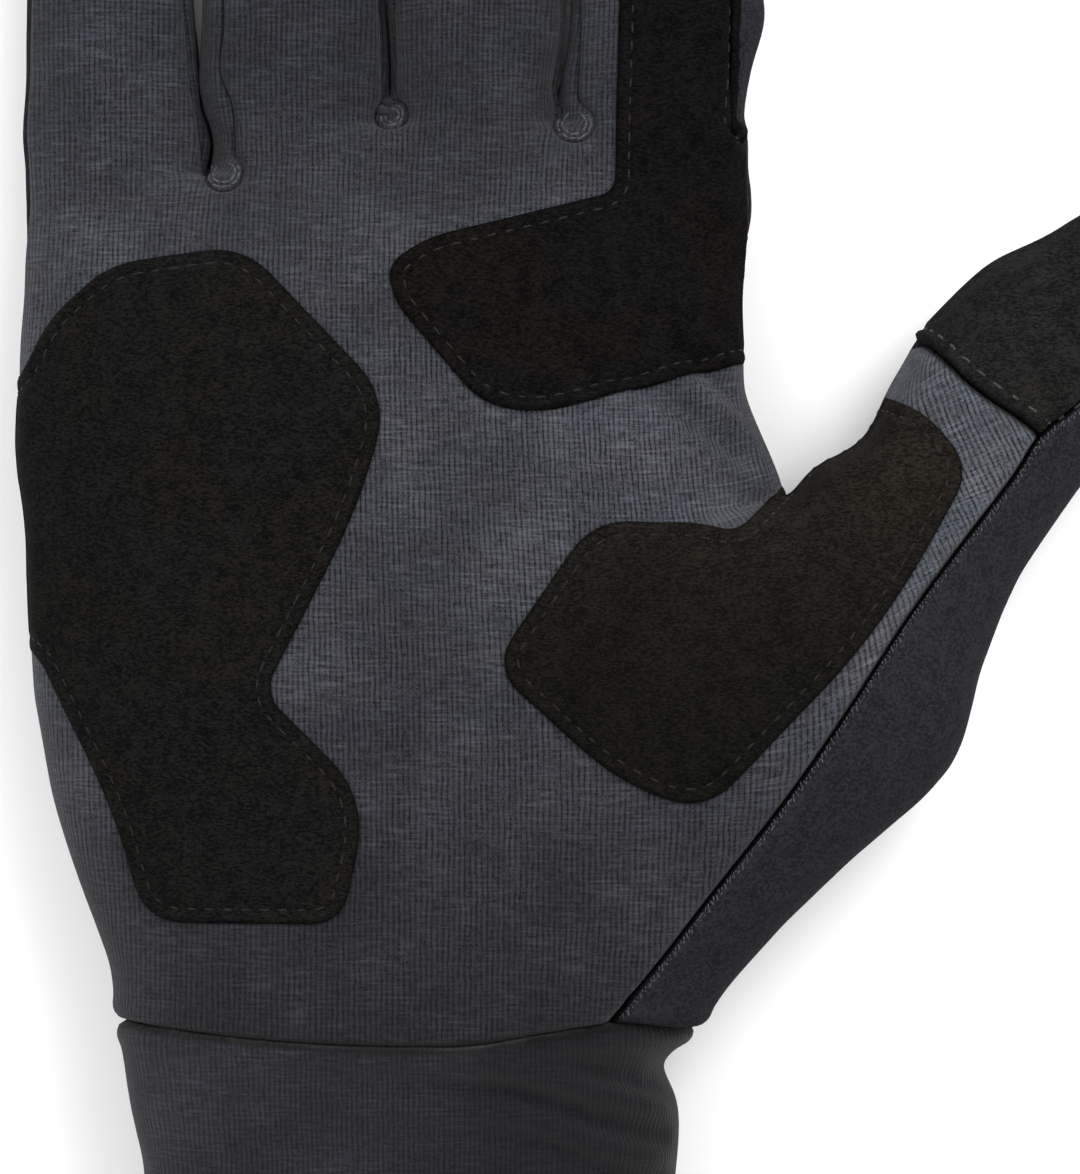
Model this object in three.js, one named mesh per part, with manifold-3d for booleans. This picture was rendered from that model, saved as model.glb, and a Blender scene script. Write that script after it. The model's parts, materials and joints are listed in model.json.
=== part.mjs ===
// Knitted wool glove for the right hand, lying on its back with the palm up, in millimetres.
// +X is the thumb's side, +Y runs to the fingertips, +Z is the palm, and z = 0 is the flattened back.
import * as THREE from "three";
import { mergeVertices } from "three/addons/utils/BufferGeometryUtils.js";
import Module from "manifold-3d";

const wasm = await Module();
wasm.setup();

// Driving dimensions
const handBreadth = 91;
const handDepth = 28;
const palmLength = 113;
const wristBreadth = 71.5;
const wristDepth = 34;
const cuffLength = 62;
const wristBelowOrigin = 50;

const fingerDepth = 19;
const fingerGap = 0.75;
const littleBreadth = 21;
const littleLength = 62;
const ringBreadth = 22.8;
const ringLength = 76;
const middleBreadth = 21.6;
const middleLength = 82;
const indexBreadth = 23.2;
const indexLength = 74;

const thumbAngle = 48;
const thumbBreadth = 28;
const thumbDepth = 24;
const thumbLength = 62;

const knitWall = 1.5;
const patchThickness = 1;
const capProud = 0.7;
const partingHeight = 11;
const patchMargin = 1.5;
const patchCorner = 5;
const fourchetteHeight = 9.5;
const fourchetteTuck = 6;
const restPress = 1.2;
const clearance = 0.3;

// Numbers of facets round the pieces
const handSides = 30;
const fingerSides = 14;
const thumbSides = 22;

// What follows from them
const wristY = -wristBelowOrigin;
const reach = 4 * palmLength;

const knitMaterial = () =>
  new THREE.MeshStandardMaterial({ color: 0x43464e, roughness: 0.95, metalness: 0 });
const backMaterial = () =>
  new THREE.MeshStandardMaterial({ color: 0x2e2d32, roughness: 0.97, metalness: 0 });
const suedeMaterial = () =>
  new THREE.MeshStandardMaterial({ color: 0x1b1a1a, roughness: 0.9, metalness: 0 });

// Solids

// A closed geometry as a solid that can be joined and cut.
function solid(geometry) {
  const bare = geometry.index ? geometry.toNonIndexed() : geometry.clone();
  bare.deleteAttribute("normal");
  bare.deleteAttribute("uv");
  const merged = mergeVertices(bare, 1e-5);
  return new wasm.Manifold(
    new wasm.Mesh({
      numProp: 3,
      vertProperties: merged.attributes.position.array,
      triVerts: new Uint32Array(merged.index.array),
    }),
  );
}

// The solid as a named mesh.
function mesh(name, body, material) {
  const { vertProperties, triVerts } = body.getMesh();
  const geometry = new THREE.BufferGeometry();
  geometry.setAttribute("position", new THREE.BufferAttribute(vertProperties, 3));
  geometry.setIndex(new THREE.BufferAttribute(triVerts, 1));
  const made = new THREE.Mesh(geometry, material);
  made.name = name;
  return made;
}

// A block between two corners.
function block(low, high) {
  const size = high.map((value, i) => value - low[i]);
  const box = new THREE.BoxGeometry(...size);
  box.translate(...low.map((value, i) => value + size[i] / 2));
  return solid(box);
}

// Everything above a height.
const above = (height) => block([-reach, -reach, height], [reach, reach, reach]);

// Everything on the finger side of a line across the hand.
const beyond = (y) => block([-reach, y, -reach], [reach, reach, reach]);

// An upright prism over an outline. Each corner has x, y and round, the length of each of its
// edges that a curve takes up, in patch corners and at most half the shorter edge.
function prism(corners, placed = (x, y) => [x, y]) {
  const points = corners.map(({ x, y }) => new THREE.Vector2(...placed(x, y)));
  const shape = new THREE.Shape();
  points.forEach((corner, i) => {
    const before = points.at(i - 1).clone().sub(corner);
    const after = points[(i + 1) % points.length].clone().sub(corner);
    const wanted = (corners[i].round ?? 0) * patchCorner;
    const setback = Math.min(wanted, 0.49 * before.length(), 0.49 * after.length());
    const start = corner.clone().add(before.setLength(setback));
    const end = corner.clone().add(after.setLength(setback));
    if (i === 0) shape.moveTo(start.x, start.y);
    else shape.lineTo(start.x, start.y);
    if (setback > 0) shape.quadraticCurveTo(corner.x, corner.y, end.x, end.y);
  });
  shape.closePath();
  return solid(
    new THREE.ExtrudeGeometry(shape, { depth: reach, bevelEnabled: false, curveSegments: 5 }),
  );
}

// A closed skin through rings of equal count, with a fan at each end.
function loft(rings) {
  const count = rings[0].length;
  const points = rings.flat();
  const index = [];
  for (let row = 0; row + 1 < rings.length; row++) {
    for (let i = 0; i < count; i++) {
      const next = (i + 1) % count;
      const a = row * count + i;
      const b = row * count + next;
      index.push(a, b, a + count, b, b + count, a + count);
    }
  }
  const centre = (ring) =>
    ring.reduce((sum, point) => sum.add(point), new THREE.Vector3()).divideScalar(count);
  const first = points.push(centre(rings[0])) - 1;
  const last = points.push(centre(rings.at(-1))) - 1;
  const top = (rings.length - 1) * count;
  for (let i = 0; i < count; i++) {
    const next = (i + 1) % count;
    index.push(first, next, i, last, top + i, top + next);
  }
  const geometry = new THREE.BufferGeometry().setFromPoints(points);
  geometry.setIndex(index);
  return solid(geometry);
}

// One cross-section: a flattened oval from left to right and from below the rest plane to the top.
// grow moves its skin out, and place puts (across, along, height) in the part's frame.
function section({ left, right, top, along }, sides, grow, place) {
  const middle = (left + right) / 2;
  const half = (right - left) / 2 + grow;
  const waist = 0.46 * top;
  const rise = top - waist + grow;
  const drop = waist + restPress + grow;
  const fullness = 0.82;
  return Array.from({ length: sides }, (_, i) => {
    const turn = (2 * Math.PI * (i + 0.5)) / sides;
    const bend = (value) => Math.sign(value) * Math.abs(value) ** fullness;
    const across = middle + half * bend(Math.cos(turn));
    const up = bend(Math.sin(turn));
    return place(across, along, waist + (up > 0 ? rise : drop) * up);
  });
}

// The hand

const handPlace = (across, along, height) => new THREE.Vector3(across, wristY + along, height);

// along is a share of the palm's length from the wrist seam to the finger crotches.
// little and thumb are the two edges, as shares of the local breadth from the hand's middle line.
// wrist says how far the local breadth and depth follow the wrist's and not the hand's.
const handRows = [
  { along: -0.08, wrist: 1, little: 0.452, thumb: 0.535, depth: 0.99 },
  { along: 0, wrist: 1, little: 0.46, thumb: 0.55, depth: 1 },
  { along: 0.07, wrist: 0.8, little: 0.448, thumb: 0.52, depth: 1 },
  { along: 0.15, wrist: 0.5, little: 0.454, thumb: 0.5, depth: 1 },
  { along: 0.26, wrist: 0.2, little: 0.464, thumb: 0.48, depth: 1.02 },
  { along: 0.37, wrist: 0, little: 0.474, thumb: 0.485, depth: 1.02 },
  { along: 0.48, wrist: 0, little: 0.48, thumb: 0.5, depth: 0.97 },
  { along: 0.57, wrist: 0, little: 0.484, thumb: 0.53, depth: 0.95 },
  { along: 0.605, wrist: 0, little: 0.488, thumb: 0.545, depth: 0.95 },
  { along: 0.65, wrist: 0, little: 0.492, thumb: 0.525, depth: 0.95 },
  { along: 0.71, wrist: 0, little: 0.486, thumb: 0.495, depth: 0.95 },
  { along: 0.82, wrist: 0, little: 0.483, thumb: 0.494, depth: 0.9 },
  { along: 0.89, wrist: 0, little: 0.485, thumb: 0.5, depth: 0.79 },
  { along: 0.945, wrist: 0, little: 0.487, thumb: 0.503, depth: 0.67 },
];

function handBody(grow) {
  const rings = handRows.map(({ along, wrist, little, thumb, depth }) => {
    const breadth = wrist * wristBreadth + (1 - wrist) * handBreadth;
    const top = depth * (wrist * wristDepth + (1 - wrist) * handDepth);
    const row = { left: -little * breadth, right: thumb * breadth, top };
    return section({ ...row, along: along * (palmLength + grow) }, handSides, grow, handPlace);
  });
  return loft(rings.map((ring) => ring.reverse()));
}

// The three longer fingers leave the hand a little higher than the little finger.
const knuckleRows = [
  { along: 0.82, inset: 0.05, depth: 0.86 },
  { along: 0.93, inset: 0.01, depth: 0.74 },
  { along: 1, inset: 0.01, depth: 0.68 },
];

function knuckles(grow) {
  const rings = knuckleRows.map(({ along, inset, depth }) => {
    const left = fingers[1].middle - ringBreadth / 2 + inset * handBreadth;
    const right = fingers[3].middle + indexBreadth / 2 - inset * handBreadth;
    const row = { left, right, top: depth * handDepth, along: along * (palmLength + grow) };
    return section(row, handSides, grow, handPlace);
  });
  return loft(rings.map((ring) => ring.reverse()));
}

// The fingers, from the little finger to the index finger, side by side with a narrow slit between.
const fingers = [
  { name: "little", breadth: littleBreadth, length: littleLength, depth: 0.9, lean: -0.6, crotch: 0.945 },
  { name: "ring", breadth: ringBreadth, length: ringLength, depth: 0.96, lean: -0.1, crotch: 0.975 },
  { name: "middle", breadth: middleBreadth, length: middleLength, depth: 1, lean: 0.4, crotch: 1 },
  { name: "index", breadth: indexBreadth, length: indexLength, depth: 1, lean: 1.8, crotch: 0.99 },
];
const fingersBreadth = fingers.reduce((sum, { breadth }) => sum + breadth, 0) + 3 * fingerGap;
let edge = 0.0075 * handBreadth - fingersBreadth / 2;
for (const finger of fingers) {
  finger.middle = edge + finger.breadth / 2;
  edge += finger.breadth + fingerGap;
}

// along is a share of the finger's length from its crotch, and width and height of its own size.
const fingerRows = [
  { along: -0.3, width: 0.84, height: 0.96 },
  { along: 0, width: 1, height: 1 },
  { along: 0.28, width: 1.01, height: 0.98 },
  { along: 0.55, width: 0.97, height: 0.94 },
  { along: 0.8, width: 0.91, height: 0.88 },
  { along: 0.9, width: 0.81, height: 0.79 },
  { along: 0.965, width: 0.58, height: 0.63 },
  { along: 1, width: 0.26, height: 0.42 },
];

const fingerPlace = ({ middle, lean, crotch }) => {
  const turn = THREE.MathUtils.degToRad(lean);
  return (across, along, height) =>
    new THREE.Vector3(
      middle + across * Math.cos(turn) + along * Math.sin(turn),
      wristY + crotch * palmLength + along * Math.cos(turn) - across * Math.sin(turn),
      height,
    );
};

function fingerBody(finger, grow) {
  const place = fingerPlace(finger);
  const rings = fingerRows.map(({ along, width, height }) => {
    const half = (width * finger.breadth) / 2;
    const top = height * finger.depth * fingerDepth;
    const length = along * (finger.length + grow);
    return section({ left: -half, right: half, top, along: length }, fingerSides, grow, place);
  });
  return loft(rings.map((ring) => ring.reverse()));
}

// The thumb, in a frame of its own that starts at its crotch and points along the thumb.
const thumbCrotch = { across: 0.56, along: 0.598 };
const thumbAxisOffset = 0.478;

const thumbTurn = THREE.MathUtils.degToRad(thumbAngle);
const thumbOrigin = {
  x: thumbCrotch.across * handBreadth + thumbAxisOffset * thumbBreadth * Math.sin(thumbTurn),
  y: wristY + thumbCrotch.along * palmLength - thumbAxisOffset * thumbBreadth * Math.cos(thumbTurn),
};
const thumbPlan = (across, along) => [
  thumbOrigin.x + along * Math.cos(thumbTurn) + across * Math.sin(thumbTurn),
  thumbOrigin.y + along * Math.sin(thumbTurn) - across * Math.cos(thumbTurn),
];
const thumbPlace = (across, along, height) =>
  new THREE.Vector3(...thumbPlan(across, along), height);

// Behind the crotch along is a share of the palm's length, and height of the hand's depth.
const thumbRootRows = [
  { along: -0.74, inner: -0.2, outer: 0.82, height: 1.12 },
  { along: -0.52, inner: -0.45, outer: 0.81, height: 1.16 },
  { along: -0.36, inner: -0.7, outer: 0.81, height: 1.2 },
  { along: -0.26, inner: -0.82, outer: 0.84, height: 1.21 },
  { along: -0.155, inner: -0.85, outer: 0.895, height: 1.18 },
  { along: -0.11, inner: -0.8, outer: 0.89, height: 1.16 },
  { along: -0.08, inner: -0.72, outer: 0.85, height: 1.13 },
  { along: -0.01, inner: -0.48, outer: 0.69, height: 1.04 },
];

// Beyond the crotch along is a share of the thumb's length, and height of the thumb's depth.
const thumbRows = [
  { along: 0.1, inner: -0.44, outer: 0.6, height: 1.14 },
  { along: 0.19, inner: -0.43, outer: 0.55, height: 1.08 },
  { along: 0.39, inner: -0.49, outer: 0.5, height: 1 },
  { along: 0.5, inner: -0.5, outer: 0.48, height: 0.96 },
  { along: 0.64, inner: -0.45, outer: 0.45, height: 0.9 },
  { along: 0.79, inner: -0.34, outer: 0.41, height: 0.81 },
  { along: 0.89, inner: -0.25, outer: 0.35, height: 0.72 },
  { along: 0.96, inner: -0.12, outer: 0.26, height: 0.58 },
  { along: 1, inner: 0.01, outer: 0.14, height: 0.42 },
];

function thumbBody(grow) {
  const ringOf = ({ inner, outer }, along, top) => {
    const row = { left: inner * thumbBreadth, right: outer * thumbBreadth, top, along };
    return section(row, thumbSides, grow, thumbPlace);
  };
  const root = thumbRootRows.map((row) =>
    ringOf(row, row.along * palmLength, row.height * handDepth),
  );
  const thumb = thumbRows.map((row) =>
    ringOf(row, row.along * (thumbLength + grow), row.height * thumbDepth),
  );
  return loft([...root, ...thumb].map((ring) => ring.reverse()));
}

// The whole hand with its skin moved out by grow, flat at a height above the rest plane.
function wholeHand(grow, floor) {
  const bodies = [knuckles(grow), thumbBody(grow)];
  for (const finger of fingers) bodies.push(fingerBody(finger, grow));
  const joined = bodies.reduce((sum, body) => sum.add(body), handBody(grow));
  return joined.intersect(above(floor));
}

const outer = wholeHand(0, 0).intersect(beyond(wristY + clearance / 2));
const inner = wholeHand(-knitWall, knitWall);
const skin = outer.subtract(inner);

// The seam that parts the palm from the back panel along the thumb's outer side.
// along is a share of the palm's length behind the crotch, of the thumb's length beyond it.
const thumbSeam = [
  { along: -0.9, across: 0.53 },
  { along: -0.57, across: 0.51 },
  { along: -0.39, across: 0.46 },
  { along: -0.22, across: 0.405 },
  { along: -0.015, across: 0.285 },
  { along: 0.3, across: 0.235 },
  { along: 0.42, across: 0.2 },
  { along: 0.6, across: 0.25 },
  { along: 1.3, across: 0.27 },
];

// The side of the thumb outside the seam, moved outwards by a distance.
function outsideSeam(move) {
  const line = thumbSeam.map(({ along, across }) => ({
    x: across * thumbBreadth + move,
    y: along * (along < 0 ? palmLength : thumbLength),
  }));
  const far = 2 * handBreadth;
  const corners = [...line, { x: far, y: line.at(-1).y }, { x: far, y: line[0].y }];
  return prism(corners.reverse(), thumbPlan).intersect(above(0));
}

// The thumb's tip beyond the line where the cap is hemmed, moved along the thumb by a distance.
const capHem = { inner: 0.388, outer: 0.425 };

function beyondHem(move) {
  const far = 2 * thumbLength;
  const corners = [
    { x: -thumbBreadth, y: capHem.inner * thumbLength + move },
    { x: thumbBreadth, y: (2 * capHem.outer - capHem.inner) * thumbLength + move },
    { x: thumbBreadth, y: far },
    { x: -thumbBreadth, y: far },
  ];
  return prism(corners, thumbPlan);
}

// The strips between two fingers: each lines the facing sides and turns round the crotch.
const fourchetteLow = (fingerDepth - fourchetteHeight) / 2;
const fourchetteShare = 0.78;

function between(index, move) {
  const strip = (finger, side) => {
    const wide = finger.breadth / 2 + fingerGap;
    const corners = [
      { x: 0, y: -fourchetteTuck - move },
      { x: side * wide, y: -fourchetteTuck - move },
      { x: side * wide, y: fourchetteShare * finger.length + move },
      { x: 0, y: fourchetteShare * finger.length + move },
    ];
    const place = fingerPlace(finger);
    const plan = (x, y) => place(x, y, 0).toArray().slice(0, 2);
    return prism(side > 0 ? corners : corners.reverse(), plan);
  };
  const low = fourchetteLow - move;
  const high = fourchetteLow + fourchetteHeight + move;
  const slab = block([-reach, -reach, low], [reach, reach, high]);
  return strip(fingers[index], 1).add(strip(fingers[index + 1], -1)).intersect(slab);
}

function fourchette(index) {
  const { name } = fingers[index];
  const made = skin.intersect(between(index, 0));
  return mesh("fourchette_" + name + "_" + fingers[index + 1].name, made, knitMaterial());
}

// The panels
const slits = [0, 1, 2].map((index) => between(index, clearance));
const withoutSlits = (body) => slits.reduce((rest, slit) => rest.subtract(slit), body);

function palmPanel() {
  const front = skin
    .intersect(above(partingHeight + clearance / 2))
    .subtract(outsideSeam(-clearance / 2))
    .subtract(beyondHem(-clearance / 2));
  return mesh("palm_panel", withoutSlits(front), knitMaterial());
}

function backPanel() {
  const low = skin.subtract(above(partingHeight - clearance / 2));
  const side = skin.intersect(outsideSeam(clearance / 2));
  return mesh("back_panel", withoutSlits(low.add(side)), backMaterial());
}

function thumbCap() {
  const made = wholeHand(capProud, 0)
    .subtract(inner)
    .intersect(above(partingHeight + clearance / 2))
    .intersect(beyondHem(clearance / 2))
    .subtract(outsideSeam(-clearance / 2));
  return mesh("thumb_cap", made, suedeMaterial());
}

// The grip patches, sewn flat on the palm panel
const patchSkin = wholeHand(clearance + patchThickness, 0)
  .subtract(wholeHand(clearance, 0))
  .intersect(above(partingHeight + patchMargin));

// Plan of the palm: x is a share of the hand's breadth from its middle line, and y of the palm's
// length from the wrist seam.
const palmPlan = (x, y) => [x * handBreadth, wristY + y * palmLength];

const heelOutline = [
  { x: -0.371, y: 0.845, round: 0.8 },
  { x: -0.455, y: 0.786, round: 1 },
  { x: -0.492, y: 0.728, round: 0.4 },
  { x: -0.56, y: 0.7 },
  { x: -0.56, y: 0.43 },
  { x: -0.472, y: 0.42, round: 0.6 },
  { x: -0.36, y: 0.248, round: 1.6 },
  { x: -0.316, y: 0.124, round: 1 },
  { x: -0.047, y: 0.124, round: 0.8 },
  { x: -0.011, y: 0.26, round: 1.4 },
  { x: -0.154, y: 0.374, round: 0.6 },
  { x: -0.03, y: 0.573, round: 2 },
  { x: 0.016, y: 0.697, round: 1.2 },
  { x: -0.185, y: 0.865, round: 1 },
];

const indexOutline = [
  { x: 0.011, y: 0.843, round: 0.6 },
  { x: 0.022, y: 0.802, round: 1 },
  { x: 0.14, y: 0.69, round: 0.8 },
  { x: 0.22, y: 0.68, round: 1.2 },
  { x: 0.5, y: 0.74 },
  { x: 0.56, y: 0.74 },
  { x: 0.56, y: 1.01 },
  { x: 0.33, y: 1.01 },
  { x: 0.33, y: 0.93, round: 0.6 },
  { x: 0.066, y: 0.874, round: 0.6 },
];

// The same patch on the finger: x is a share of its breadth, and y of its length.
const indexFingerOutline = [
  { x: -0.215, y: -0.2 },
  { x: 0.44, y: -0.2 },
  { x: 0.44, y: 0.9, round: 0.6 },
  { x: 0.12, y: 0.97, round: 0.8 },
  { x: -0.215, y: 0.9, round: 0.6 },
];

const thumbOutline = [
  { x: 0.153, y: 0.401, round: 1 },
  { x: 0.292, y: 0.565, round: 1 },
  { x: 0.44, y: 0.558, round: 1.6 },
  { x: 0.487, y: 0.548, round: 1.2 },
  { x: 0.577, y: 0.62 },
  { x: 0.66, y: 0.73 },
  { x: 0.698, y: 0.702, round: 0.4 },
  { x: 0.75, y: 0.678, round: 0.8 },
  { x: 0.807, y: 0.62, round: 1.2 },
  { x: 0.687, y: 0.451, round: 4 },
  { x: 0.44, y: 0.245, round: 1.2 },
  { x: 0.325, y: 0.28, round: 1.6 },
];

const widened = ({ breadth, length }) => (corner) =>
  ({ ...corner, x: corner.x * breadth, y: corner.y * length });

const palmPatch = (name, outline) =>
  mesh(name, patchSkin.intersect(prism(outline, palmPlan)), suedeMaterial());

function indexPatch() {
  const index = fingers[3];
  const place = fingerPlace(index);
  const plan = (x, y) => place(x, y, 0).toArray().slice(0, 2);
  const onFinger = prism(indexFingerOutline.map(widened(index)), plan);
  const onPalm = prism(indexOutline, palmPlan);
  return mesh("index_patch", patchSkin.intersect(onPalm.add(onFinger)), suedeMaterial());
}

// The cuff: a straight band, pinched in below its seam on the thumb's side.
// along is a share of the cuff's length down from the wrist seam.
const cuffRows = [
  { along: 0, little: 0.46, thumb: 0.548, depth: 1 },
  { along: 0.06, little: 0.447, thumb: 0.51, depth: 0.97 },
  { along: 0.14, little: 0.435, thumb: 0.517, depth: 0.95 },
  { along: 0.27, little: 0.413, thumb: 0.514, depth: 0.93 },
  { along: 0.6, little: 0.405, thumb: 0.505, depth: 0.92 },
  { along: 1, little: 0.415, thumb: 0.515, depth: 0.92 },
];

function cuffBody(grow, past, floor) {
  const rings = cuffRows.map(({ along, little, thumb, depth }, i) => {
    const ends = i === 0 ? past - clearance / 2 : i === cuffRows.length - 1 ? -past : 0;
    const row = { left: -little * wristBreadth, right: thumb * wristBreadth };
    row.top = depth * wristDepth;
    row.along = ends - along * cuffLength;
    return section(row, handSides, grow, handPlace);
  });
  return loft(rings).intersect(above(floor));
}

const cuff = () =>
  mesh("cuff", cuffBody(0, 0, 0).subtract(cuffBody(-knitWall, 1, knitWall)), knitMaterial());

const glove = new THREE.Group();
glove.add(palmPanel(), backPanel(), thumbCap(), cuff());
for (const index of [0, 1, 2]) glove.add(fourchette(index));
glove.add(palmPatch("heel_patch", heelOutline), palmPatch("thumb_patch", thumbOutline));
glove.add(indexPatch());

export default glove;
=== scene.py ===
import json
import math
import random

import bpy
import numpy as np
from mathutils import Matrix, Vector
from mathutils.kdtree import KDTree

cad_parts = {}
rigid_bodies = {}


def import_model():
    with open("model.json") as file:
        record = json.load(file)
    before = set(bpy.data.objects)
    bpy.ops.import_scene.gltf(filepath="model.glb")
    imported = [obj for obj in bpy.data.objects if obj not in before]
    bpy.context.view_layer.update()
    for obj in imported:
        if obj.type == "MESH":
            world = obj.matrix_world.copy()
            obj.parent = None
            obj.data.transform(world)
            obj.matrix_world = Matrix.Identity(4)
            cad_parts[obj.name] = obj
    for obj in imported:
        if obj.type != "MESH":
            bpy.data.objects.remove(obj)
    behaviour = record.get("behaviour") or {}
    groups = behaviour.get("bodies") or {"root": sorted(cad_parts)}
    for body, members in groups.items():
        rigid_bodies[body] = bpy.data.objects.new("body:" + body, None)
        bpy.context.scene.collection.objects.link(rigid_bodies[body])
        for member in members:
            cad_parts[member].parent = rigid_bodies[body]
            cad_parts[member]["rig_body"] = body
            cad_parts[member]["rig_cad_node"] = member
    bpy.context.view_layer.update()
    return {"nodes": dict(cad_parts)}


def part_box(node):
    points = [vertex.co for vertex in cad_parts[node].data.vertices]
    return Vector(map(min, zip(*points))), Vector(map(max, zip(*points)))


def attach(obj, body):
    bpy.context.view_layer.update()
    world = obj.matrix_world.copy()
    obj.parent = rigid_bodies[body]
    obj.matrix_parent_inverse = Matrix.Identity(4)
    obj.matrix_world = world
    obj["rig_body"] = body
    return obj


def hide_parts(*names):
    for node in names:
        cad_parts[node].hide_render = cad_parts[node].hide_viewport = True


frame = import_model()

# Shapes are worked out in millimetres and written to Blender in metres.
mm = 0.001
random.seed(7)
chance = np.random.default_rng(7)

glove = {
    "wristSeamY": -50,
    "palmLength": 113,
    "handBreadth": 91,
    "partingHeight": 11,
    "patchMargin": 0.3,
    "backRise": 9,
    "patchCorner": 5,
    "knitWall": 1.5,
}


# Camera and light, first

camera = {"x": 20, "y": 5.4, "subjectHeight": 20, "distance": 611.5, "lens": 150}


def makeCamera():
    bpy.ops.object.camera_add(
        location=(camera["x"] * mm, camera["y"] * mm, (camera["subjectHeight"] + camera["distance"]) * mm)
    )
    made = bpy.context.object
    made.name = "photoCamera"
    made.data.lens = camera["lens"]
    made.data.sensor_width = 36
    made.data.clip_start = 0.01
    bpy.context.scene.camera = made
    print("camera ready")


def makeMaterial(name):
    material = bpy.data.materials.new(name)
    material.use_nodes = True
    return material, material.node_tree


def makeFloor():
    bpy.ops.mesh.primitive_plane_add(size=6, location=(0, 0, -0.00005))
    floor = bpy.context.object
    floor.name = "studioFloor"
    material, graph = makeMaterial("palePaper")
    graph.nodes["Principled BSDF"].inputs["Base Color"].default_value = (0.97, 0.97, 0.97, 1)
    graph.nodes["Principled BSDF"].inputs["Roughness"].default_value = 0.9
    floor.data.materials.append(material)


def makeSoftbox(name, place, aim, size, watts):
    bpy.ops.object.light_add(type="AREA", location=place)
    light = bpy.context.object
    light.name = name
    light.data.shape = "SQUARE"
    light.data.size = size
    light.data.energy = watts
    light.visible_camera = False
    light.rotation_euler = (Vector(aim) - Vector(place)).to_track_quat("-Z", "Y").to_euler()
    return light


studio = {
    "air": 0.88,
    "softboxes": [
        ("keyLight", (0.3, 0.26, 0.5), (0.03, 0.01, 0), 0.35, 2.9),
        ("fillLight", (-0.5, 0.2, 0.7), (0, 0, 0), 0.6, 3.0),
    ],
}


def makeLight():
    world = bpy.data.worlds.new("studioAir")
    world.use_nodes = True
    world.node_tree.nodes["Background"].inputs["Color"].default_value = (1, 1, 1, 1)
    world.node_tree.nodes["Background"].inputs["Strength"].default_value = studio["air"]
    bpy.context.scene.world = world
    bpy.context.scene.view_settings.view_transform = "Standard"
    for name, place, aim, size, watts in studio["softboxes"]:
        makeSoftbox(name, place, aim, size, watts)
    print("studio ready")


makeCamera()
makeFloor()
makeLight()


# Small helpers


def clearSelection():
    bpy.ops.object.select_all(action="DESELECT")


def pick(piece):
    clearSelection()
    piece.select_set(True)
    bpy.context.view_layer.objects.active = piece


def applyModifier(piece, kind, **settings):
    pick(piece)
    modifier = piece.modifiers.new(kind.lower(), kind)
    for key, value in settings.items():
        setattr(modifier, key, value)
    bpy.ops.object.modifier_apply(modifier=modifier.name)


def pointsOf(piece):
    found = np.empty(len(piece.data.vertices) * 3)
    piece.data.vertices.foreach_get("co", found)
    return found.reshape(-1, 3) / mm


def setPoints(piece, points):
    piece.data.vertices.foreach_set("co", (points * mm).ravel())
    piece.data.update()


def normalsOf(piece):
    found = np.empty(len(piece.data.vertices) * 3)
    piece.data.vertex_normals.foreach_get("vector", found)
    return found.reshape(-1, 3)


def edgesOf(piece):
    found = np.empty(len(piece.data.edges) * 2, dtype=np.int64)
    piece.data.edges.foreach_get("vertices", found)
    return found.reshape(-1, 2)


def copyOfNodes(name, nodes):
    clearSelection()
    copies = []
    for node in nodes:
        copy = frame["nodes"][node].copy()
        copy.data = copy.data.copy()
        copy.parent = None
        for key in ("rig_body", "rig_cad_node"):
            if key in copy:
                del copy[key]
        bpy.context.scene.collection.objects.link(copy)
        copies.append(copy)
    for copy in copies:
        copy.select_set(True)
    bpy.context.view_layer.objects.active = copies[0]
    bpy.ops.object.join()
    joined = bpy.context.object
    joined.name = name
    joined.data.materials.clear()
    bpy.ops.object.mode_set(mode="EDIT")
    bpy.ops.mesh.select_all(action="SELECT")
    bpy.ops.mesh.remove_doubles(threshold=0.00001)
    bpy.ops.object.mode_set(mode="OBJECT")
    return joined


def smoothStep(value, low, high):
    share = np.clip((value - low) / (high - low), 0, 1)
    return share * share * (3 - 2 * share)


def bell(distance, width):
    return np.exp(-((distance / width) ** 2))


# Distance in plan from points to an open line or a closed outline
def distanceInPlan(points, line):
    best = np.full(len(points), 1e9)
    for start, end in zip(line[:-1], line[1:]):
        along = end - start
        length = max(float(along @ along), 1e-12)
        share = np.clip(((points[:, :2] - start) @ along) / length, 0, 1)
        gap = points[:, :2] - start - share[:, None] * along
        best = np.minimum(best, (gap**2).sum(1))
    return np.sqrt(best)


def insideInPlan(points, outline):
    inside = np.zeros(len(points), dtype=bool)
    x = points[:, 0]
    y = points[:, 1]
    for start, end in zip(outline, np.roll(outline, -1, axis=0)):
        crosses = (start[1] > y) != (end[1] > y)
        height = np.where(abs(end[1] - start[1]) < 1e-12, 1e-12, end[1] - start[1])
        inside ^= crosses & (x < start[0] + (end[0] - start[0]) * (y - start[1]) / height)
    return inside


def depthInside(points, outline):
    closed = np.vstack([outline, outline[:1]])
    away = distanceInPlan(points, closed)
    return np.where(insideInPlan(points, outline), away, -away)


# A line through a few points, rounded between them
def flowing(points, steps=10):
    points = np.array(points, dtype=float)
    before = np.vstack([2 * points[0] - points[1], points[:-1]])
    after = np.vstack([points[1:], 2 * points[-1] - points[-2]])
    slope = (after - before) / 2
    made = []
    for i in range(len(points) - 1):
        for t in np.arange(steps) / steps:
            a = 2 * t**3 - 3 * t**2 + 1
            b = t**3 - 2 * t**2 + t
            c = -2 * t**3 + 3 * t**2
            d = t**3 - t**2
            made.append(a * points[i] + b * slope[i] + c * points[i + 1] + d * slope[i + 1])
    made.append(points[-1])
    return np.array(made)


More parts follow.
